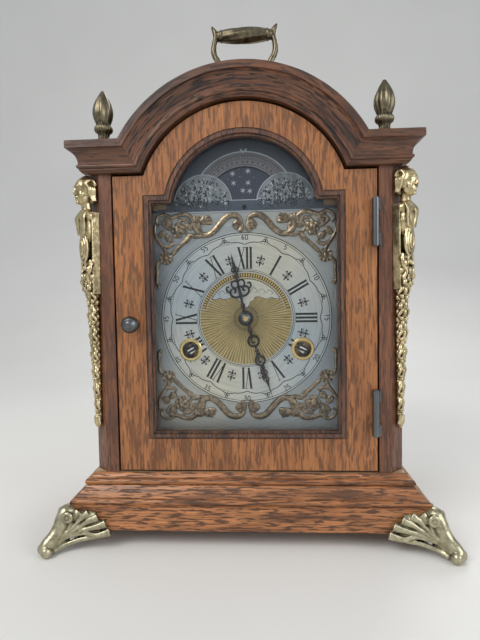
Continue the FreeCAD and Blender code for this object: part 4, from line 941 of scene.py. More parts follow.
def drawArch(s):
    y = s["front"]
    center = (0.0, moonZ)
    scale, silver, ink, hump = newShape(), newShape(), newShape(), newShape()
    outer, inner = windowArc(s["rim"], s), windowArc(s["scaleInner"], s)
    outline = arc(s["rim"] - 0.05, -outer, outer, center)
    side = []
    for i in range(1, 8):
        radius = s["rim"] + (s["scaleInner"] - s["rim"]) * i / 8
        side.append(spot(radius, windowArc(radius, s), center))
    outline += side + arc(s["scaleInner"], inner, -inner, center) + [(-x, z) for x, z in reversed(side)]
    addPlate(scale, outline, dialFront + 0.35, dialFront + 0.75)
    for radius, width in ((31.2, 0.22), (28.9, 0.18), (25.6, 0.18)):
        reach = windowArc(radius, s)
        addRibbon(ink, arc(radius, -reach, reach, center), width, dialFront + 0.32)
    for i in range(30):
        degrees = -50 + i * 100 / 29
        if abs(degrees) < windowArc(30.0, s) - 1:
            addRibbon(ink, [spot(29.4, degrees, center), spot(30.8, degrees, center)], 0.25, dialFront + 0.32)
        if abs(degrees) < windowArc(27.0, s) - 2 and i % 2 == 0:
            addRibbon(ink, arc(0.45, 0, 360, spot(27.2, degrees, center), steps=8), 0.35, dialFront + 0.32)
    addRibbon(silver, arc(s["rim"] + 0.35, -outer - 1, outer + 1, center), 0.75, y)
    for sign in (-1, 1):
        rim = []
        for k in range(61):
            turn = math.radians(-8 + k * 3.4)
            x = sign * (s["humpX"] - (s["humpRadius"] - 0.35) * math.cos(turn))
            z = s["humpRise"] + (s["humpRadius"] - 0.35) * math.sin(turn)
            if z > s["foot"] - 0.4:
                rim.append((x, moonZ + z))
        addPlate(hump, rim if sign > 0 else list(reversed(rim)), y + 0.005, y + 0.025)
        addRibbon(silver, rim, 0.55, y)
        addRibbon(ink, [(x + sign * 0.5, z) for x, z in rim], 0.16, y)
    addRibbon(silver, [(-9.2, moonZ + s["foot"] - 0.2), (9.2, moonZ + s["foot"] - 0.2)], 0.5, y)
    addPlate(silver, [(-2.4, moonZ + 34.6), (0, moonZ + 32.2), (2.4, moonZ + 34.6), (1.6, moonZ + 35.2),
                      (0, moonZ + 33.6), (-1.6, moonZ + 35.2)], y - 0.02, y + 0.02)
    addRibbon(silver, [(-55.5, 205.0), (55.5, 205.0)], 0.5, y)
    addRibbon(ink, [(-55.5, 204.4), (55.5, 204.4)], 0.22, y)
    chance = random.Random(7)
    for sign in (-1, 1):
        for i in range(190):
            reach = math.sqrt(chance.random()) * (s["humpRadius"] - 2.2)
            turn = chance.random() * math.pi
            x, z = reach * math.cos(turn), reach * math.sin(turn)
            lean = chance.uniform(-70, 70) + x * 3
            size = chance.uniform(1.3, 2.7)
            leaf = [(0, 0), (0.25 * size, size * 0.5), (0.1 * size, size)]
            tilt = math.radians(lean)
            points = [(sign * (s["humpX"] + x + u * math.cos(tilt) + v * math.sin(tilt)),
                       moonZ + s["humpRise"] - 2 + z - u * math.sin(tilt) + v * math.cos(tilt)) for u,
                       v in leaf]
            target = ink if i % 5 < 4 else silver
            addRibbon(target, points, [0.12, chance.uniform(0.6, 1.2), 0.1], y - 0.002 * (i % 7))
        for i in range(6):
            foot = (sign * (s["humpX"] + chance.uniform(-11, 11)), moonZ + s["humpRise"] - 3)
            top = (foot[0] + chance.uniform(-4, 4), foot[1] + chance.uniform(7, 15))
            bend = ((foot[0] + top[0]) / 2 + chance.uniform(-2, 2), (foot[1] + top[1]) / 2)
            addRibbon(ink, smoothPath([foot, bend, top], 5), 0.42, y - 0.02)
        for i in range(150):
            x, z = chance.uniform(8, 52) * sign, chance.uniform(205.8, 209.2)
            if abs(x) < 48:
                addRibbon(ink, [(x, z), (x + chance.uniform(-0.9, 0.9), z + chance.uniform(0.1, 0.6))], 0.2,
                          y)
    makeObject("arch_humps", hump, "humpSilver", "case", smooth=False)
    makeObject("lunar_scale", scale, "scaleMetal", "case", smooth=False)
    makeObject("arch_silver_lines", silver, "etched", "case", smooth=False)
    makeObject("arch_engraving", ink, "ink", "case", smooth=False)
    screw = newShape()
    addTurned(screw, [(0.0, -0.9), (1.0, -0.85), (1.45, -0.5), (1.5, 0.0)], (0, dialFront, moonZ - 1.0), 24,
              axis="y")
    makeObject("moon_screw", screw, "blackSteel", "case")


starSettings = {"front": -35.05 - 0.03, "stars": ((-7.2, 20.4), (2.6, 21.8), (-6.6, 14.4), (2.6, 14.4),
                                                  (-0.8, 9.6), (3.6, 9.2)),
                "reach": 1.95}


def drawStars(s):
    stars = newShape()
    for x, z in s["stars"]:
        for k in range(3):
            turn = math.radians(60 * k + 8)
            ux, uz = math.sin(turn) * s["reach"], math.cos(turn) * s["reach"]
            addRibbon(stars, [(x - ux, moonZ + z - uz), (x, moonZ + z), (x + ux, moonZ + z + uz)],
                      [0.1, 0.62, 0.1], s["front"] - 0.01 * k)
    for x, z in ((-2.6, 18.4), (6.2, 17.6), (-10.2, 17.0), (-3.2, 23.0)):
        addRibbon(stars, [(x - 0.2, moonZ + z), (x + 0.2, moonZ + z)], 0.35, s["front"])
    makeObject("moon_stars", stars, "starSilver", "moon_disc", smooth=False)


drawArch(archSettings)
drawStars(starSettings)
print("dial arch engraved")


# corner castings of the dial
castingSettings = {"back": dialFront - 0.1}


# scrolls and leaves of the upper right corner; x to the right, height from the hands' arbor
def cornerCasting(s):
    shape = newShape()
    y = s["back"] - 0.55

    def scroll(points):
        addTube(shape, [(x, y, z, r * 1.62) for x, z, r in points], 8, (1.0, 0.7, 1.0), 5)

    def leaf(x, z, degrees, size, lobes=5):
        for k in range(lobes):
            tilt = math.radians(degrees + (k - (lobes - 1) / 2) * 30)
            reach = size * (1.0 - 0.12 * abs(k - (lobes - 1) / 2))
            tip = (x + math.sin(tilt) * reach, z + math.cos(tilt) * reach)
            bend = (x + math.sin(tilt + 0.35) * reach * 0.55, z + math.cos(tilt + 0.35) * reach * 0.55)
            scroll([(x, z, 0.6), (*bend, size * 0.19), (*tip, size * 0.11)])

    scroll([(4.4, 58.8, 0.9), (5.8, 57.6, 0.8), (6.6, 59.6, 0.9), (4.6, 61.2, 1.0), (2.4, 60.2, 1.0),
            (1.9, 57.4, 1.0), (3.6, 54.9, 1.0)][::-1] + [(6.6, 59.6, 0.8)])
    scroll([(2.0, 60.6, 0.8), (3.4, 64.0, 1.0), (7.0, 65.6, 1.2), (11.4, 64.4, 1.3), (15.2, 60.6, 1.35),
            (18.6, 56.6, 1.3), (22.6, 53.6, 1.2), (26.6, 53.4, 1.2), (30.0, 56.0, 1.2), (32.0, 59.6, 1.0)])
    scroll([(26.6, 53.6, 1.0), (30.6, 52.4, 0.9), (34.2, 53.4, 0.9), (36.6, 50.8, 0.9), (40.8, 47.4, 0.9)])
    for x, z, turn, size in ((25.0, 60.4, -30, 6.0), (29.6, 60.8, 20, 5.4), (27.6, 57.8, 80, 4.6)):
        leaf(x, z, turn, size)
    scroll([(33.4, 58.0, 0.8), (33.0, 62.4, 1.0), (36.0, 66.2, 1.0), (41.2, 66.4, 0.9), (46.6, 64.8, 0.8),
            (51.0, 66.8, 0.8), (54.8, 65.8, 0.7), (56.4, 62.4, 0.6), (54.4, 60.0, 0.6)])
    scroll([(35.6, 60.2, 0.7), (37.6, 62.8, 0.7), (41.2, 62.4, 0.7), (42.0, 59.4, 0.7)])
    for i in range(7):
        turn = math.radians(i * 360 / 7)
        addBlob(shape, (42.6 + 3.0 * math.sin(turn), y - 0.3, 56.4 + 3.8 * math.cos(turn)), (1.6, 0.9, 1.6),
                across=8, down=6)
    addBlob(shape, (42.6, y - 0.7, 56.4), (2.2, 1.0, 3.0), across=10, down=6)
    leaf(46.8, 60.2, 35, 4.6, 4)
    leaf(47.0, 52.8, 120, 4.4, 4)
    leaf(38.2, 51.4, 215, 3.8, 4)
    leaf(36.6, 57.6, -60, 4.2, 4)
    leaf(48.6, 65.0, 150, 3.8, 4)
    leaf(53.6, 56.0, 200, 4.4, 4)
    leaf(41.4, 64.4, 10, 3.2, 3)
    scroll([(36.0, 53.6, 0.6), (38.6, 57.0, 0.7), (38.8, 61.0, 0.6)])
    scroll([(46.6, 57.0, 0.6), (50.0, 58.6, 0.7), (52.6, 61.6, 0.6), (50.6, 63.4, 0.5)])
    scroll([(57.0, 60.8, 0.5), (57.6, 55.6, 0.7), (55.4, 50.6, 0.8), (52.4, 46.4, 0.8), (50.2, 42.6, 0.8)])
    scroll([(40.6, 47.4, 0.8), (43.6, 44.6, 0.9), (46.6, 41.4, 0.9)])
    scroll([(45.4, 48.6, 0.7), (48.2, 46.4, 0.8), (52.0, 47.0, 0.8), (54.6, 49.6, 0.6)])
    for i in range(9):
        turn = math.radians(i * 40)
        scroll([(50.6 + 1.2 * math.sin(turn), 39.2 + 1.2 * math.cos(turn), 0.5),
                (50.6 + 4.3 * math.sin(turn), 39.2 + 4.3 * math.cos(turn), 0.95)])
    addBlob(shape, (50.6, y - 0.6, 39.2), (1.6, 0.9, 1.6), across=10, down=6)
    scroll([(55.0, 37.4, 0.7), (56.8, 33.8, 0.7), (56.4, 29.6, 0.7), (57.0, 24.6, 0.8), (55.6, 21.6, 0.8),
            (54.8, 23.4, 0.6)])
    return shape


def placeCastings(s):
    upper = cornerCasting(s)
    whole = joined(
        moved(upper, lambda v: (v.x, v.y, dialZ + v.z)),
        moved(upper, lambda v: (-v.x, v.y, dialZ + v.z)),
        moved(upper, lambda v: (v.x, v.y, dialZ - v.z * 0.985 + 1.2)),
        moved(upper, lambda v: (-v.x, v.y, dialZ - v.z * 0.985 + 1.2)),
    )
    made = makeObject("dial_castings", whole, "dialCasting", "case", voxel=0.24, soften=1, rough=0.05)
    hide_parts("corner_ornaments")


placeCastings(castingSettings)
print("corner castings made")


# hands
handSettings = {"hourFront": -39.75, "minuteFront": -41.35, "thick": 0.8, "hourAngle": 348.0,
                "minuteAngle": 162.0}


def handOnDial(shape, degrees, front, s):
    turn = math.radians(degrees)
    middle = front + s["thick"] / 2
    return moved(shape, lambda v: (v.x * math.cos(turn) + v.z * math.sin(turn), middle + v.y,
                                   dialZ - v.x * math.sin(turn) + v.z * math.cos(turn)))


def flatRod(shape, points):
    addTube(shape, [(x, 0, z, r) for x, z, r in points], 8, (1.0, 0.6, 1.0), 5)


def makeHands(s):
    hour = newShape()
    addTurned(hour, [(3.34, -0.4), (4.3, -0.4), (4.8, -0.2), (4.8, 0.2), (4.3, 0.4), (3.34, 0.4)], (0, 0, 0),
              40, axis="y")
    flatRod(hour, [(0, 4.2, 1.3), (0, 6.6, 0.8), (0, 8.4, 1.5), (0, 10.2, 0.7), (0, 13.0, 0.9),
                   (0, 15.0, 1.2)])
    flatRod(hour, [(0, 15.0, 1.2), (0, 20.0, 0.8), (0, 25.0, 0.8), (0, 27.6, 1.7), (0, 30.2, 0.9),
                   (0, 33.4, 1.2), (0, 37.2, 0.6), (0, 42.6, 0.08)])
    for side in (-1, 1):
        flatRod(hour, [(0, 14.6, 0.8), (side * 3.2, 14.4, 0.75), (side * 5.8, 16.4, 0.75),
                       (side * 5.4, 19.4, 0.7), (side * 3.0, 20.0, 0.65), (side * 2.4, 18.0, 0.6),
                       (side * 3.8, 17.4, 0.5)])
        flatRod(hour, [(0, 21.2, 0.6), (side * 2.0, 20.2, 0.6), (side * 4.0, 21.6, 0.6),
                       (side * 3.6, 24.2, 0.6), (side * 1.4, 24.6, 0.55), (0, 23.0, 0.5)])
        flatRod(hour, [(side * 5.6, 18.0, 0.5), (side * 7.6, 19.2, 0.6), (side * 7.6, 21.6, 0.6),
                       (side * 5.8, 21.8, 0.55)])
        flatRod(hour, [(0, 29.4, 0.5), (side * 1.9, 30.8, 0.5), (side * 1.6, 32.8, 0.4), (0, 32.6, 0.4)])
    minute = newShape()
    addTurned(minute, [(1.54, -0.4), (3.8, -0.4), (4.2, -0.2), (4.2, 0.2), (3.8, 0.4), (1.54, 0.4)],
              (0, 0, 0), 40, axis="y")
    flatRod(minute, [(0, 3.8, 1.2), (0, 6.4, 0.7), (0, 8.6, 1.4), (0, 10.4, 0.7), (0, 11.8, 0.9)])
    for middle, radius in ((15.2, 3.3), (28.2, 2.9)):
        ring = [(radius * math.sin(math.radians(k * 30)), middle + radius * math.cos(math.radians(k * 30)),
                 0.62 + 0.3 * (1 - math.cos(math.radians(k * 30))) / 2) for k in range(13)]
        flatRod(minute, ring)
        flatRod(minute, [(-0.4, middle - radius, 0.5), (1.3, middle - 0.4, 0.55), (0.2, middle + 1.0, 0.5),
                         (-0.8, middle + 0.2, 0.45)])
    flatRod(minute, [(0, 18.4, 0.9), (0, 20.0, 0.7), (0, 21.4, 1.6), (0, 22.6, 0.9), (0, 23.8, 1.4),
                     (0, 25.2, 0.8)])
    flatRod(minute, [(0, 31.0, 0.9), (0, 33.0, 1.5), (0, 35.0, 0.8), (0, 37.4, 1.35), (0, 40.0, 0.7),
                     (0, 43.0, 1.0), (0, 46.0, 0.45), (0, 56.4, 0.06)])
    for side in (-1, 1):
        flatRod(minute, [(0, 33.6, 0.5), (side * 1.8, 35.6, 0.5), (side * 1.2, 37.6, 0.4), (0, 37.0, 0.4)])
        flatRod(minute, [(0, 38.6, 0.5), (side * 1.5, 40.2, 0.45), (side * 1.0, 42.0, 0.35), (0, 41.6, 0.3)])
    hour = makeObject("hour_hand_cut", handOnDial(hour, s["hourAngle"], s["hourFront"], s), "blackSteel",
                      "hour_train",
                      voxel=0.14)
    minute = makeObject("minute_hand_cut", handOnDial(minute, s["minuteAngle"], s["minuteFront"], s),
                        "blackSteel",
                        "minute_train", voxel=0.14)
    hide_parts("hour_hand")
    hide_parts("minute_hand")


makeHands(handSettings)
print("hands made")


# corner figures
figureSettings = {"tip": 69.0, "originX": 92.0, "originY": -48.75, "seed": 11}


# herm on the canted corner; u along the cant, n outwards, z up
def figureForm(s):
    shape = newShape()
    chance = random.Random(s["seed"])
    slabOutline = [(-5.4, 0), (5.4, 0), (6.0, 5.4), (-6.0, 5.4)]
    start = len(shape["verts"])
    for z, k in ((154.0, 0.86), (172.0, 0.96), (204.0, 1.06)):
        shape["verts"] += [(u * k, n, z) for u, n in slabOutline]
    for i in range(2):
        for k in range(4):
            a, b = start + 4 * i + k, start + 4 * i + (k + 1) % 4
            shape["faces"].append((a, b, b + 4, a + 4))
    shape["faces"] += [(start + 3, start + 2, start + 1, start),
                       (start + 8, start + 9, start + 10, start + 11)]
    # head: skull, jaw, neck, features and hair
    addBlob(shape, (0, 6.2, 217.6), (5.6, 6.3, 7.6), across=20, down=14)
    addBlob(shape, (0, 7.6, 212.6), (4.3, 4.5, 4.6), across=18, down=12)
    addBlob(shape, (0, 2.4, 217.4), (5.5, 3.0, 8.8), across=16, down=10)
    addTube(shape, [(0, 5.0, 203.0, 3.6), (0, 5.4, 206.6, 3.0), (0, 6.0, 211.0, 3.0)], 14)
    addTube(shape, [(0, 12.1, 218.4, 0.55), (0, 12.7, 216.6, 0.7), (0, 13.3, 214.9, 0.95)], 8)
    for side in (-1, 1):
        addBlob(shape, (side * 0.8, 12.5, 214.6), (0.6, 0.7, 0.55), across=8, down=6)
        addTube(shape, [(side * 0.8, 12.2, 218.9, 0.5), (side * 2.4, 11.7, 219.3, 0.55),
                        (side * 4.0, 9.9, 218.6, 0.4)], 8)
        addBlob(shape, (side * 2.2, 10.9, 217.4), (0.95, 0.8, 0.6), across=10, down=6)
        addBlob(shape, (side * 3.1, 9.6, 214.2), (1.7, 1.9, 2.1), across=10, down=8)
    addTube(shape, [(-1.7, 11.2, 212.6, 0.3), (0, 12.2, 212.8, 0.5), (1.7, 11.2, 212.6, 0.3)], 8)
    addTube(shape, [(-1.3, 11.1, 211.7, 0.3), (0, 12.0, 211.5, 0.55), (1.3, 11.1, 211.7, 0.3)], 8)
    addBlob(shape, (0, 11.0, 209.6), (1.5, 1.2, 1.2), across=10, down=8)
    for k in range(9):
        side = (k - 4) / 4
        addTube(shape, [(side * 4.4, 9.9 - 2.0 * abs(side), 221.2 - 1.6 * abs(side), 0.8),
                        (side * 5.0, 7.2 - abs(side), 224.6 - 2.4 * abs(side), 1.05),
                        (side * 4.4, 3.4, 225.2 - 2.2 * abs(side), 1.1),
                        (side * 4.8, 1.4, 221.0 - 1.0 * abs(side), 0.9)], 8)
    for side in (-1, 1):
        for k in range(4):
            addTube(shape, [(side * 5.2, 7.4 - k * 1.3, 220.6 - k * 0.4, 0.7),
                            (side * 6.0, 6.6 - k * 1.3, 217.4, 0.85), (side * 5.2, 5.4 - k * 1.0, 213.8,
                                    0.75), (side * 5.5, 3.8 - k * 0.6, 210.4, 0.6)], 8)
    # shoulders with folds, oval shield, rough drapery
    addBlob(shape, (0, 5.6, 201.6), (6.9, 4.8, 4.2), across=18, down=10)
    addBlob(shape, (0, 6.0, 194.0), (5.4, 4.0, 11.0), across=18, down=12)
    for k in range(4):
        for side in (-1, 1):
            addTube(shape, [(side * (1.6 + k * 1.3), 8.2, 205.4 - k * 0.5, 0.6),
                            (side * (2.8 + k), 9.9, 200.4, 0.75), (side * (3.2 + k * 0.6), 9.6, 195.0, 0.7),
                            (side * (1.4 + k * 0.9), 9.4, 190.2, 0.6)], 8)
    for k in range(3):
        ring = [((4.6 - 1.35 * k) * math.sin(math.radians(t * 30)), 8.0 + 0.75 * k,
                 182.4 + (8.6 - 2.3 * k) * math.cos(math.radians(t * 30)), 0.95 - 0.1 * k) for t in range(13)]
        addTube(shape, ring, 8)
    addBlob(shape, (0, 7.4, 182.4), (3.8, 2.6, 7.8), across=16, down=12)
    for k in range(30):
        z = chance.uniform(156.5, 175.0)
        u = chance.uniform(-4.8, 4.8)
        addBlob(shape, (u, 5.4 + chance.uniform(0, 2.2), z),
                (chance.uniform(1.0, 1.9), 1.5, chance.uniform(1.2, 2.4)),
                (chance.uniform(-40, 40), chance.uniform(-40, 40), 0), 8, 6)
    for side in (-1, 1):
        addTube(shape, [(side * 5.0, 6.4, 175.0, 0.9), (side * 5.6, 6.8, 169.0, 1.1),
                        (side * 3.4, 8.0, 164.6, 1.1), (side * 4.8, 7.2, 160.0, 1.0),
                        (side * 2.0, 7.8, 156.4, 0.8)], 8)
    # drop of leaves, buds and berries
    z = 153.5
    k = 0
    while z > s["tip"] + 4:
        share = (z - s["tip"]) / (153.5 - s["tip"])
        half = 1.5 + 3.6 * share
        out = 2.6 + 3.2 * share
        kind = k % 3
        if kind == 0:
            for side in (-1, 1):
                addTube(shape, [(0, out * 0.7, z + 2.6, 0.9), (side * half * 0.7, out, z + 1.4, 1.0),
                                (side * half * 1.05, out * 0.7, z - 1.8, 0.9), (side * half * 0.6, out * 0.6,
                                        z - 3.2, 0.5)], 8)
            addBlob(shape, (0, out * 0.9, z), (half * 0.42, 1.7, 2.2), across=10, down=8)
        elif kind == 1:
            for j in range(5):
                turn = math.radians(j * 72)
                addBlob(shape, (half * 0.62 * math.sin(turn), out * 0.85, z + half * 0.55 * math.cos(turn)),
                        (half * 0.34, 1.5, half * 0.34), across=8, down=6)
            addBlob(shape, (0, out * 1.1, z), (half * 0.3, 1.2, half * 0.3), across=8, down=6)
        else:
            for j in range(3):
                lean = (j - 1) * 26
                addBlob(shape, ((j - 1) * half * 0.62, out * (0.95 - 0.25 * abs(j - 1)),
                                z - 0.4 * abs(j - 1)), (half * 0.34, 1.5, 2.4), (0, -lean, 0), 10, 8)
        addBlob(shape, (0, out * 0.35, z), (half * 0.85, out * 0.5, 2.8), across=12, down=8)
        z -= 2.9 + 1.6 * share
        k += 1
    addTube(shape, [(0, 2.6, s["tip"] + 9, 2.2), (0, 2.4, s["tip"] + 5, 2.4), (0, 1.8, s["tip"] + 1.8, 1.4),
                    (0, 1.4, s["tip"] + 0.6, 0.5)], 10)
    return shape


def placeFigures(s):
    form = figureForm(s)
    k = math.sqrt(0.5)
    pair = []
    for side in (-1, 1):
        pair.append(moved(form, lambda v: (side * (s["originX"] + v.x * k + v.y * k),
                                           s["originY"] + v.x * k - v.y * k, v.z)))
    made = makeObject("corner_figures_cast", joined(*pair), "gilt", "case", voxel=0.36, soften=1, rough=0.06)
    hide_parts("corner_figures")


placeFigures(figureSettings)
print("figures made")


# feet
footSettings = {"cornerX": 108.5, "cornerY": -65.25}


# front right foot; a runs inwards along the base from its corner, o outwards, both in the front view's plane
def footForm(s):
    k = math.sqrt(0.5)

    def half(flip):
        shape = newShape()

        # a along the face, o out of it, d out along the diagonal
        def at(a, o, d, z, r):
            x, y = s["cornerX"] - a + d * k, s["cornerY"] - o - d * k
            if flip:
                x, y = s["cornerX"] + o + d * k, s["cornerY"] + a - d * k
            return (x, y, z, r)

        lobes = ((6.6, 23.0), (12.6, 22.4), (18.2, 20.0), (23.0, 16.2), (25.6, 11.2))
        for i, (a, z) in enumerate(lobes):
            addTube(shape, [at(a, 1.2, 0, z, 3.0), at(a * 0.88, 2.0, 0, z - 0.9, 2.5),
                            at(a * 0.68, 2.7, 0, z - 2.8 + i * 0.25, 1.9), at(a * 0.42, 3.3, 0,
                                    14.6 - i * 0.9 + (4 - i) * 0.9, 1.35), at(1.6, 3.9, 1.0, 12.6 - i * 0.9,
                                    1.2), at(0, 3.8 - i * 0.1, 5.0, 9.6 - i * 0.8, 1.15),
                                    at(0, 4.0 - i * 0.2, 9.0, 6.8 - i * 0.5, 1.15),
                                    at(0, 3.6 - i * 0.2, 12.4, 4.4 - i * 0.25, 1.2)], 8)
        addTube(shape, [at(25.6, 1.3, 0, 10.6, 1.7), at(16.0, 2.4, 0, 8.4, 1.7), at(8.0, 3.0, 0, 7.0, 1.6),
                        at(2.0, 3.4, 3.0, 4.8, 1.5), at(0, 3.2, 8.4, 2.6, 1.6)], 8)
        # backing of the shell
        addTube(shape, [at(23.4, 0.2, 0, 15.0, 2.6), at(15.0, 0.4, 0, 16.4, 2.6), at(7.0, 1.0, 0, 15.4, 2.8),
                        at(1.0, 1.6, 0, 13.0, 3.0)], 10)
        addTube(shape, [at(17.0, 0.3, 0, 20.6, 2.4), at(9.0, 0.6, 0, 21.0, 2.6), at(2.0, 1.0, 0, 18.0, 2.8)],
                10)
        addTube(shape, [at(20.0, 0.3, 0, 11.6, 2.0), at(10.0, 0.8, 0, 11.6, 2.4), at(2.0, 1.4, 0, 9.6, 2.6)],
                10)
        # ball under the toe
        ball = at(0, 3.4, 12.6, 3.7, 0)
        addBlob(shape, ball[:3], (3.5, 3.5, 3.6), across=16, down=12)
        # round eye beside the upper scroll
        eye = [at(2.4 + 2.5 * math.sin(math.radians(t * 30)), 4.3, 1.6,
                  21.2 + 2.5 * math.cos(math.radians(t * 30)), 1.15)
               for t in range(13)]
        addTube(shape, eye, 8)
        addBlob(shape, at(2.4, 3.0, 1.2, 21.2, 0)[:3], (2.6, 2.6, 2.6), across=12, down=8)
        return shape

    spine = newShape()

    def along(d, z, r):
        return (s["cornerX"] + d * k, s["cornerY"] - d * k, z, r)

    addTube(spine, [along(-2.0, 22.0, 4.6), along(1.4, 22.6, 4.6), along(4.0, 18.6, 4.4),
                    along(6.4, 13.6, 4.2), along(10.0, 9.6, 4.0), along(13.6, 6.6, 3.9),
                    along(14.6, 4.2, 3.9), along(13.0, 3.9, 3.7)], 16)
    addTube(spine, [along(-4.0, 13.0, 5.5), along(1.0, 11.0, 5.0), along(6.0, 7.6, 3.8)], 12)
    return joined(half(False), half(True), spine)


def placeFeet(s):
    form = footForm(s)

    # nothing of the casting lies in the base or under the table
    def keepOut(v):
        x, y, z = v
        x, y = abs(x), -abs(y)
        inX, inY = s["cornerX"] + 0.02 - x, y - (s["cornerY"] - 0.02)
        if z > 11.2 and inX > 0 and inY > 0:
            if inX < inY:
                x += inX
            else:
                y -= inY
        return (math.copysign(x, v[0]), math.copysign(y, v[1]), max(z, 0.0))

    for name, sides in (("front_feet", 1), ("rear_feet", -1)):
        pair = [moved(form, lambda v: (side * v.x, sides * v.y, v.z)) for side in (-1, 1)]
        made = makeObject(name + "_cast", joined(*pair), "feetBrass", "case", voxel=0.4, soften=1, rough=0.05,
                          shell=keepOut)
        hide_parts(name)


placeFeet(footSettings)
print("feet made")


# handle, finials and knobs
handleSettings = {"y": 6.25, "pivot": 288.5, "bulge": 23.9, "legX": 14.0, "leg": 4.2, "gripRise": 46.5,
                  "grip": 5.4}


def makeHandle(s):
    shape = newShape()
    y, pivot, b = s["y"], s["pivot"], s["bulge"]
    middle = s["legX"] + s["leg"] / 2
    for side in (-1, 1):
        path = [(middle, -1.6, 2.1), (middle, 6.0, 1.9), (middle, 15.0, 2.0), (middle + 0.6, 22.0, 2.0),
                (b - 5.6, 28.5, 2.0), (b - 3.1, 32.4, 2.1), (b - 2.1, 36.8, 2.15), (b - 2.6, 41.5, 1.9),
                (b - 3.6, 45.6, 1.9), (b - 3.0, 49.6, 1.9), (b - 1.6, 52.2, 1.2), (b - 0.7, 53.6, 0.5)]
        addTube(shape, [(side * x, y, pivot + z, r) for x, z, r in path], 14, (1.0, 1.35, 1.0))
        for k in range(3):
            addTube(shape, [(side * (middle + 0.3 + k * 0.2), y + (k - 1) * 1.9, pivot + 17, 0.7),
                            (side * (b - 3.0), y + (k - 1) * 1.9, pivot + 31.5, 0.8),
                            (side * (b - 1.0), y + (k - 1) * 1.7, pivot + 37.0, 0.7),
                            (side * (b - 2.2), y + (k - 1) * 1.2, pivot + 44, 0.4)], 8)
        addTurned(shape, [(1.56, -2.1), (3.2, -2.1), (3.35, -1.6), (3.35, 1.6), (3.2, 2.1), (1.56, 2.1)],
                  (side * middle, y, pivot), 30, axis="x")
        for x, r in ((b - 7.4, 4.3), (b - 6.0, 3.6)):
            addTurned(shape, [(r - 1.0, -0.8), (r, -0.4), (r, 0.4), (r - 1.0, 0.8)],
                      (side * x, y, pivot + s["gripRise"]), 30, axis="x")
    profile = []
    for i in range(41):
        t = -1 + i / 20
        profile.append((3.0 + (s["grip"] - 3.0) * math.cos(t * math.pi / 2) ** 0.8, t * (b - 4.4)))
    addTurned(shape, profile, (0, y, pivot + s["gripRise"]), 64, lambda turn,
              h: 1 + 0.035 * math.cos(8 * turn + h * 0.22), axis="x")
    made = makeObject("handle_cast", shape, "antique", "handle", voxel=0.36, soften=1, rough=0.04)
    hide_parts("handle")


finialSettings = {
    "x": 83.5, "y": frontPlane - 0.5, "foot": 245.0,
    "profile": [(0, 0), (4.4, 0), (4.5, 0.7), (4.3, 1.3), (3.5, 2.4), (3.2, 3.8), (3.6, 5.6), (4.9, 6.6),
                (5.35, 7.6), (5.35, 8.8), (4.9, 9.8),
               (4.1, 10.6), (4.6, 12.2), (5.5, 14.6), (5.95, 17.2), (5.8, 20.0), (5.1, 22.8), (4.0, 25.4),
               (2.8, 27.6), (1.9, 29.0), (1.3, 30.2),
               (0.5, 30.9), (0, 31.0)],
}


def makeFinials(s):
    shape = newShape()

    def flutes(turn, h):
        if h > 11.0:
            return 1 + 0.05 * min(1.0, (31 - h) / 8) * math.cos(9 * turn)
        if 5.8 < h < 10.0:
            return 1 + 0.035 * math.cos(24 * turn)
        return 1 + 0.03 * math.cos(12 * turn)

    for side in (-1, 1):
        addTurned(shape, s["profile"], (side * s["x"], s["y"], s["foot"]), 96, flutes)
    made = makeObject("finials_turned", shape, "antique", "case", rough=0.03)
    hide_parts("finials")


knobSettings = {
    "x": -69.0, "z": 135.4,
    "profile": [(0, -11.2), (1.6, -11.1), (2.4, -10.7), (2.6, -10.3), (3.4, -10.0), (4.3, -9.2), (4.5, -8.7),
                (5.1, -8.2), (5.2, -7.2), (4.9, -6.4),
               (3.8, -5.6), (2.4, -4.6), (2.1, -3.2), (2.4, -1.6), (3.6, -0.8), (3.9, 0.0)],
}


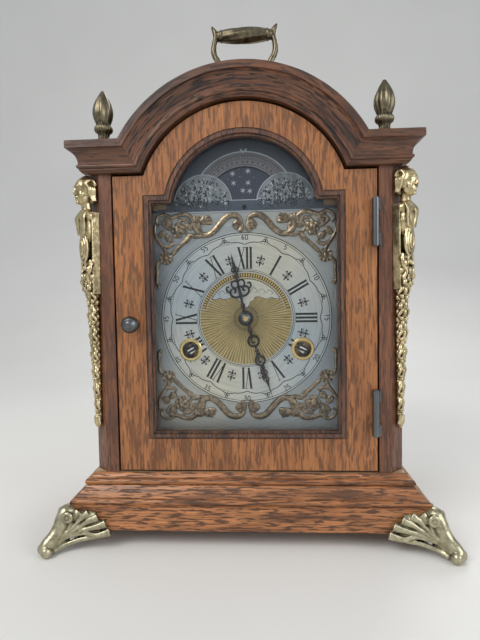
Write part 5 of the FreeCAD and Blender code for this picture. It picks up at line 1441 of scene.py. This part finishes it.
def makeKnobs(s):
    shape = newShape()
    addTurned(shape, s["profile"], (s["x"], frontPlane, s["z"]), 48, axis="y")
    made = makeObject("door_knob_turned", shape, "darkSteel", "front_door")
    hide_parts("door_knob")


makeHandle(handleSettings)
makeFinials(finialSettings)
makeKnobs(knobSettings)
print("handle, finials and knob made")


# worn edges
def rounded(name, width, segments=2):
    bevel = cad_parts[name].modifiers.new("worn edge", "BEVEL")
    bevel.width = width * mm
    bevel.segments = segments
    bevel.limit_method = "ANGLE"
    bevel.angle_limit = math.radians(35)


edgeSettings = {
    "front_door_frame": 0.7, "corner_posts": 0.6, "base_moulding_front": 0.35, "base_moulding_sides": 0.35,
    "crown_returns": 0.35, "crown_arch": 0.3, "glazing_bead": 0.5, "rear_door": 0.6, "back_frame": 0.5,
    "shoulder_boards": 0.4, "winding_collets": 0.2, "side_panels": 0.3,
}
for name, width in edgeSettings.items():
    rounded(name, width)
print("edges softened")


# floor
def addFloor():
    rows = [(-3.0, 0.0), (0.55, 0.0)]
    rows += [(0.55 + 0.9 * math.sin(math.radians(a)), 0.9 - 0.9 * math.cos(math.radians(a))) for a in range(6,
            91, 6)]
    rows.append((1.45, 4.0))
    verts = [(x, y, z) for y, z in rows for x in (-3.5, 3.5)]
    faces = [(2 * i, 2 * i + 1, 2 * i + 3, 2 * i + 2) for i in range(len(rows) - 1)]
    mesh = bpy.data.meshes.new("floor")
    mesh.from_pydata(verts, [], faces)
    for polygon in mesh.polygons:
        polygon.use_smooth = True
    floor = bpy.data.objects.new("floor", mesh)
    bpy.context.scene.collection.objects.link(floor)
    made, tree, shader = newMaterial("paleFloor")
    coords = node(tree, "TexCoord").outputs["Object"]
    cloud = node(tree, "TexNoise", {"Vector": coords, "Scale": 3.0, "Detail": 2.0})
    tree.links.new(ramp(tree, cloud.outputs[0], [(0.3, (0.74, 0.73, 0.70)), (0.7, (0.78, 0.77, 0.74))]),
                   shader.inputs["Base Color"])
    shader.inputs["Roughness"].default_value = 0.6
    mesh.materials.append(made)


addFloor()
print("floor laid")
